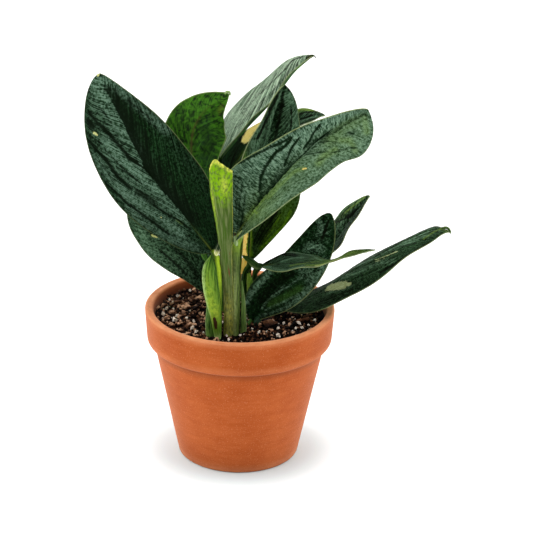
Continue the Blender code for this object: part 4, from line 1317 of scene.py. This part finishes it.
petioles["big_right"] = dict(
    path=[
        (-2.6, -39, 101.6), (-2.6, -38.5, 118), (-2.6, -38.5, 150), (-2.8, -38.8, 172), (-3.2, -40, 186),
        (-1.8, -41, 196), (2.4, -41, 206),
    ],
    joins=False, wide=[2.8, 3.1, 3.4, 3.6, 3.7, 3.5, 2.7, 0.8], deep=[2.8, 2.9, 3, 3, 2.8, 2.2, 1.5, 0.6],
    swell=(0.7, 0.93), bright=[(0.85, 0.25, 0.15, 1, 0.6)],
    pale=[(0.97, 0.25, 0.04, 1, 0.8), (0.25, 0.3, 0.3, 0.08, 0.5)],
    dusk=[(0.85, 0.3, 0.2, 0.2, 0.6), (0.55, 0, 0.35, 0.06, 0.5)],
    look=dict(deep="#2e4216", green="#5f7636", bright="#7fa030", pale="#b4c47c", dusk="#20360f"),
)
petioles["curled_back"] = dict(
    path=[(-10, 2.7, 102.6), (-12.5, 3, 120), (-13, 4, 150), (-17, 6, 186)],
    wide=[2.5, 2.4, 2.3, 2.2, 2.1, 2],
)
petioles["tall_narrow"] = dict(
    path=[(-4.6, 5.1, 103.2), (-6.5, 11, 120), (-9, 14, 165), (-12, 20, 214)],
    wide=[2.4, 2.4, 2.3, 2.2, 2, 1.9],
)
petioles["rear_right"] = dict(
    path=[(-0.5, 13.5, 102.3), (-2, 20, 120), (-4, 27, 155), (-9, 38, 195)],
    wide=[2.3, 2.3, 2.2, 2.1, 2, 1.9],
)
petioles["upright"] = dict(
    path=[(4.6, 9.3, 102.6), (4.1, 12.5, 118), (3, 17, 136), (4, 18, 148)],
    wide=[2.7, 2.8, 2.8, 2.7, 2.4, 2.2], deep=[2.7, 2.7, 2.7, 2.6, 2.4, 2.2],
    pale=[(0.5, 0.02, 0.5, 0.05, 0.8), (0.5, 0.5, 0.5, 0.05, 0.7)],
)
petioles["low_left"] = dict(
    path=[(-15, 0.5, 102.6), (-18.5, 4.5, 117)], wide=[2.5, 2.5, 2.3, 2.1],
)
petioles["low_front"] = dict(
    path=[(6.5, -22.4, 101.6), (8.3, -22.6, 112)], wide=[2.6, 2.7, 2.5, 2.3], deep=[2.6, 2.6, 2.4, 2.2],
)
petioles["long_right"] = dict(
    path=[(18.5, -7.5, 102.2), (19.6, -2, 113)], wide=[2.5, 2.6, 2.5, 2.2], deep=[2.5, 2.6, 2.4, 2.1],
)
petioles["low_rear"] = dict(
    path=[(22.5, 17.4, 103.4), (35, 22, 117)], wide=[2.3, 2.3, 2.2, 2],
)
petioles["twisted"] = dict(
    path=[(12.8, 13, 103.2), (12.3, 9.5, 118), (12.6, 6.5, 136), (11.6, -1, 152)],
    wide=[2.2, 2.2, 2.1, 2, 1.9, 1.8], look=dict(deep="#10260c", green="#2c4a18"),
)

sheaths = {}
sheaths["sheath_right"] = dict(
    path=[(3.2, -39, 101.6), (3.6, -39, 118), (3.4, -38.8, 140), (1.9, -38.6, 163)],
    wide=[2, 2.4, 2, 0.6], deep=[2, 2, 1.8, 0.6], pale=[(0.5, 0, 0.6, 0.07, 0.9)],
    look=dict(deep="#3a5424", green="#5f7c3c", pale="#b8cc90"),
)
sheaths["sheath_stub_left"] = dict(
    path=[(-22, -43.4, 101.6), (-22.4, -43.4, 118), (-23.4, -41, 130), (-23.6, -37, 142)],
    wide=[2.8, 3.4, 2.8, 1.7], deep=[2.2, 2.4, 2.2, 1.2], pale=[(0.5, 0.45, 0.6, 0.04, 0.6)],
    look=dict(deep="#274a14", green="#6c9444", pale="#a9c080"),
)
sheaths["sheath_rear_left"] = dict(
    path=[(9, 11.3, 102.9), (8.8, 13.4, 118), (8, 14.4, 136), (6.4, 15.6, 147)], wide=[1.4, 2, 2.8, 1.2],
    deep=[1.4, 1.4, 1.3, 0.5], bright=[(0.7, 0.25, 0.4, 1, 0.7)],
    pale=[(0.7, 0, 0.4, 0.08, 1), (0.7, 0.5, 0.4, 0.08, 1)],
    look=dict(deep="#4f7a1c", green="#8fb046", bright="#9cc044", pale="#d0e078"),
)
sheaths["sheath_rear_right"] = dict(
    path=[(17.2, 15, 102.6), (17.2, 13.5, 118), (17.4, 13, 134), (18.2, 13, 149)],
    wide=[1.8, 2, 1.7, 0.6], deep=[1.3, 1.4, 1.2, 0.5], bright=[(0.9, 0.25, 0.3, 1, 0.8)],
    look=dict(bright="#c0b848"),
)


# Paint that wraps round a stalk, with its turn v in 0..1: 0 right, 0.25 front, 0.5 left
def aroundSpots(u, v, table):
    wrapped = [(a, b + turn, c, d, e) for a, b, c, d, e in table for turn in (-1, 0, 1)]
    return spots(u, v, wrapped)


def addStalkPaint(piece, kept, look, name):
    setAttributes(piece, kept["paint"])
    setUvMap(piece, "skin", kept["around"], kept["run"])
    piece.data.uv_layers.remove(piece.data.uv_layers["UVMap"])
    piece.data.materials.append(stalkMaterial(name, {**stalkLooks, **look}))


def makeStalk(name, stalk, *nodes):
    stalk = {**stalkBasics, "deep": stalk["wide"], **stalk}
    length = float(arcLength(stalk["path"], 1.0))
    kept = {}

    def place(u, v):
        centre, towards, sideways = frames(stalk["path"], front, u)
        wide, deep = values(stalk["wide"], u), values(stalk["deep"], u)
        turn = 2 * np.pi * v
        run = arcLength(stalk["path"], u)
        swell, swellAt = stalk["swell"]
        grow = 1 + swell / wide * np.exp(-((u - swellAt) / stalk["swellReach"]) ** 2)
        ribs = (0.5 + 0.5 * np.cos(turn * stalk["ribCount"])) ** 3
        shape = 0.08 * lumps(turn * 3, run, 4, 8) - stalk["ribDepth"] * ribs
        kept["paint"] = {key: aroundSpots(u, v, stalk[key]) for key in stalkPaints}
        kept["around"], kept["run"] = turn * np.mean(stalk["wide"]), run
        out = ((wide * grow + shape) * np.cos(turn))[:, None]
        rise = ((deep * grow + shape) * np.sin(turn))[:, None]
        return centre + sideways * out + towards * rise

    piece = shapedGrid(name, stalk["sides"], int(length / stalk["cell"]) + 4, place)
    addStalkPaint(piece, kept, stalk["look"], name + "Skin")

    def closeTube():
        bpy.ops.mesh.remove_doubles(threshold=1e-6)
        bpy.ops.mesh.select_all(action="DESELECT")
        bpy.ops.mesh.select_non_manifold()
        bpy.ops.mesh.fill_holes(sides=0)
        bpy.ops.mesh.select_all(action="SELECT")
        bpy.ops.mesh.normals_make_consistent(inside=False)

    inEditMode(piece, closeTube)
    finishPiece(piece, "petiole", *nodes)


def joinedPath(path, rib):
    base, after = np.array(rib[:2], float)
    along = unit(after - base)
    return [*path, tuple(base - 4.0 * along), tuple(base + 0.8 * along)]


print("petioles")
for petioleName, petiole in petioles.items():
    if petiole.get("joins", stalkBasics["joins"]):
        petiole["path"] = joinedPath(petiole["path"], leaves[petioleName]["rib"])
    makeStalk("stalk_" + petioleName, petiole, "petiole_" + petioleName)

print("sheaths")
for sheathName, sheath in sheaths.items():
    makeStalk("bare_" + sheathName, sheath, sheathName)

# Small growths that the CAD leaves out
print("small growths")
growths = {}
growths["hood_left"] = dict(  # the bulging remains of a sheath, in front of the left leaf's petiole
    path=[
        (-16.2, -46.4, 116.5), (-17.6, -46.6, 134), (-20.3, -46.4, 150), (-22.5, -46, 166),
        (-22.8, -46, 178), (-21.6, -46, 187.4),
    ],
    wide=[2.6, 4.3, 5.8, 6.2, 5, 0.5], deep=[2, 2.8, 3.4, 3.4, 2.8, 0.5],
    bright=[(0.45, 0.3, 0.25, 0.12, 0.7), (0.28, 0.25, 0.1, 0.2, 0.8)],
    # pale on its left is a painted highlight, and dusk on its right and at its top is painted shade
    pale=[
        (0.6, 0.46, 0.3, 0.04, 0.8), (0.65, 0.38, 0.2, 0.02, 0.5), (0.4, 0.42, 0.2, 0.03, 0.5),
        (0, 0.25, 0.05, 0.5, 0.9),
    ],
    dusk=[(0.97, 0.25, 0.16, 0.4, 1), (0.7, 0.08, 0.3, 0.07, 0.8), (0.35, 0.03, 0.25, 0.06, 0.5)],
    scar=[(0.17, 0.29, 0.07, 0.06, 1.3)],
    look=dict(
        whole=0.3, deep="#3a6212", green="#648e2a", bright="#94b032", pale="#bcd884", dusk="#173a0a",
    ),
)
growths["flap_left"] = dict(  # a loose flap beside the left leaf's foot
    path=[(-29.4, -41.6, 189), (-28, -41.8, 186), (-26.4, -42, 183), (-24.4, -42.2, 179.4)],
    wide=[0.8, 2.2, 2.4, 0.8], deep=[0.4, 0.7, 0.7, 0.4], look=dict(deep="#24480f", green="#4a7c28"),
)
growths["v_blade"] = dict(  # a narrow blade between the rear petioles
    path=[(8.6, 13.2, 130), (9.6, 12.8, 136), (11.2, 12.8, 143), (13, 13, 150)], wide=[1, 2.2, 2.4, 0.6],
    deep=[0.5, 0.8, 0.8, 0.4], pale=[(0.5, 0, 0.6, 0.08, 1)],
    look=dict(deep="#3f6a16", green="#7fa83c", pale="#c4dc70"),
)
growths["hook_long"] = dict(  # the dry tip of the long right leaf, bent down
    path=[(156.4, -17, 201.4), (160.2, -17, 201.9), (162.8, -17, 200), (164.2, -17, 196.8)],
    wide=[0.6, 1.1, 0.9, 0.35], deep=[0.5, 0.9, 0.7, 0.3], pale=[(0.6, 0.5, 0.5, 0.1, 0.8)],
    look=dict(deep="#1c3314", green="#48662c", pale="#8fae5c"),
)
growths["cream_foot"] = dict(  # the cream foot of the upright leaf
    path=[(1.2, 17, 146), (1.9, 17.2, 151), (3.2, 17.4, 157), (4.6, 17.6, 164)],
    wide=[0.7, 2.2, 2.7, 1.2], deep=[0.4, 0.7, 0.8, 0.5],
    look=dict(deep="#e4b848", green="#f4d470", through=0.3),
)
growths["hook_tall"] = dict(  # the dry tip of the tall leaf
    path=[(50, 46.8, 317.8), (53, 47.6, 319.8), (55.4, 48, 319.6), (56.8, 48, 317.6)],
    wide=[0.7, 0.9, 0.6, 0.3], deep=[0.6, 0.7, 0.6, 0.35], look=dict(deep="#1c2210", green="#3c4424"),
)
growths["curl_back"] = dict(  # the curled tip of the leaf that shows its back
    path=[(-14, 13.4, 298), (-12.2, 13.6, 299.4), (-10.2, 13.8, 299), (-9.6, 13.8, 296.4)],
    wide=[0.7, 1.1, 1, 0.4], deep=[0.5, 0.7, 0.7, 0.4], look=dict(deep="#5f8a38", green="#a9c080"),
)
growths["toe_front"] = dict(  # the last wedge of the low front leaf, lying on the mix
    path=[(11.4, -27, 118.8), (12.4, -24.6, 119.6), (14.6, -20.6, 121.6), (18.4, -17, 125.4)],
    wide=[0.4, 1.5, 3, 1], deep=[0.3, 0.7, 0.9, 0.5], pale=[(0.4, 0, 0.6, 0.1, 0.6)],
    look=dict(deep="#0a1c0e", green="#1f4428", pale="#4f7a56"),
)
growths["knuckle_left"] = dict(  # the pale joint where the left leaf begins
    path=[(-18.6, -46.4, 186), (-17.8, -47, 189), (-16.6, -46.8, 193), (-15.2, -45, 198)],
    wide=[0.4, 1.7, 2.6, 2.2, 0.4], deep=[0.4, 1.3, 1.6, 1.2, 0.4], dusk=[(1, 0.25, 0.4, 1, 1.5)],
    look=dict(whole=0.9, deep="#c8d070", green="#f0f0c0", dusk="#142a12"),
)
growths["knuckle_right"] = dict(  # the pale joint where the big right leaf begins
    path=[(-2.9, -41.5, 192), (-2.7, -41.8, 196), (-3.2, -41.8, 200), (-4, -41.6, 204.6)],
    wide=[0.5, 1.7, 1.8, 1.4, 0.5], deep=[0.5, 1.4, 1.5, 1.2, 0.5], scar=[(0.9, 0.25, 0.09, 0.2, 1.4)],
    look=dict(deep="#7a9a58", green="#a9c08c"),
)
growths["spur"] = dict(  # dry, at the bend of the twisted leaf's petiole
    path=[(17, -11.5, 164.6), (12.6, -10.8, 164.4), (7.6, -10.2, 168.6), (2, -10, 172.6)],
    wide=[2.2, 3, 3, 2.2, 0.6], deep=[1.6, 2.1, 2.1, 1.7, 0.4], pale=[(0.4, 0.35, 0.3, 0.06, 0.4)],
    look=dict(deep="#10260a", green="#2f5016"),
)
for growthName, growth in growths.items():
    makeStalk(growthName, growth)

# The cut petiole in front is a gutter, open at the back, with a torn upper end
print("cut petiole")
gutter = dict(
    path=[
        (-8, -40.5, 101.6), (-8, -40.5, 137), (-9, -41.5, 160), (-10.4, -45, 185), (-12, -47, 214),
        (-14.4, -48, 240), (-15, -48.5, 267),
    ],
    wide=[3.9, 4, 4, 4.5, 6.5, 8.4, 9], deep=[2.2, 2.2, 2.4, 2.7, 3, 3.4, 3.6], thickness=1.3,
    halfAngle=100.0,  # degrees that the gutter reaches round to each side
    girth=22.0,  # its width laid flat
    ribDepth=0.1, columns=40, rows=120,
    torn=[13, 5.5, 0.3, 3.3, 6.9, 9, 10.5],  # how far below the top, from left to right
    bright=[(0.96, 0.5, 0.115, 1, 1), (0.74, 0.12, 0.13, 0.1, 1), (0.87, 0.55, 0.08, 0.22, 1)],
    pale=[
        (1, 0.5, 0.012, 2, 3), (0.12, 0.4, 0.14, 0.5, 0.4), (0.7, 0.04, 0.6, 0.035, 1.5),
        (0.75, 0.955, 0.6, 0.03, 1.4), (0.89, 0.6, 0.05, 0.1, 0.5), (0.8, 0.2, 0.08, 0.05, 0.4),
    ],
    dusk=[
        (0.62, 0.42, 0.16, 0.2, 1), (0.7, 0.8, 0.12, 0.14, 0.9), (0.47, 0.6, 0.16, 0.3, 0.9),
        (0.94, 0.5, 0.13, 1, 0.8), (0.86, 0.12, 0.1, 0.14, 0.9), (0.82, 0.88, 0.08, 0.14, 0.9),
    ],
    scar=[
        (0.44, 0.6, 0.04, 0.06, 0.55), (0.41, 0.66, 0.05, 0.03, 0.55), (0.3, 0.3, 0.008, 0.04, 0.6),
        (0.52, 0.72, 0.05, 0.03, 0.5),
    ],
    look=dict(
        deep="#343f1b", green="#6d7a48", bright="#7cae00", pale="#dcdc5c", dusk="#42601a", scar="#6a4228",
        whole=0.2,
    ),
)


def makeCutPetiole():
    path, thickness = gutter["path"], gutter["thickness"]
    length = path[-1][2] - path[0][2]
    kept = {}

    def place(u, v):
        turn = np.radians(gutter["halfAngle"]) * (2 * v - 1)
        ragged = values(gutter["torn"], v) + 0.5 * lumps(v * 30, v * 0, 1.2, 6)
        share = u * (1 - ragged / length * np.clip(u * 3 - 2, 0, 1))
        centre, towards, sideways = frames(path, front, share)
        run = arcLength(path, share)
        ribs = np.cos(v * 60) + lumps(v * 40, run, 3, 8)
        shape = gutter["ribDepth"] * ribs - thickness / 2
        kept["paint"] = {key: spots(u, v, gutter[key]) for key in stalkPaints}
        kept["around"], kept["run"] = v * gutter["girth"], run
        out = ((values(gutter["wide"], share) + shape) * np.sin(turn))[:, None]
        rise = ((values(gutter["deep"], share) + shape) * np.cos(turn))[:, None]
        return centre + sideways * out + towards * rise

    piece = shapedGrid("cutpetiole", gutter["columns"], gutter["rows"], place)
    addStalkPaint(piece, kept, gutter["look"], "cutPetioleSkin")
    thicken(piece, thickness)
    finishPiece(piece, "cut_petiole", "cut_petiole")


makeCutPetiole()

bpy.context.view_layer.update()
print("finished")
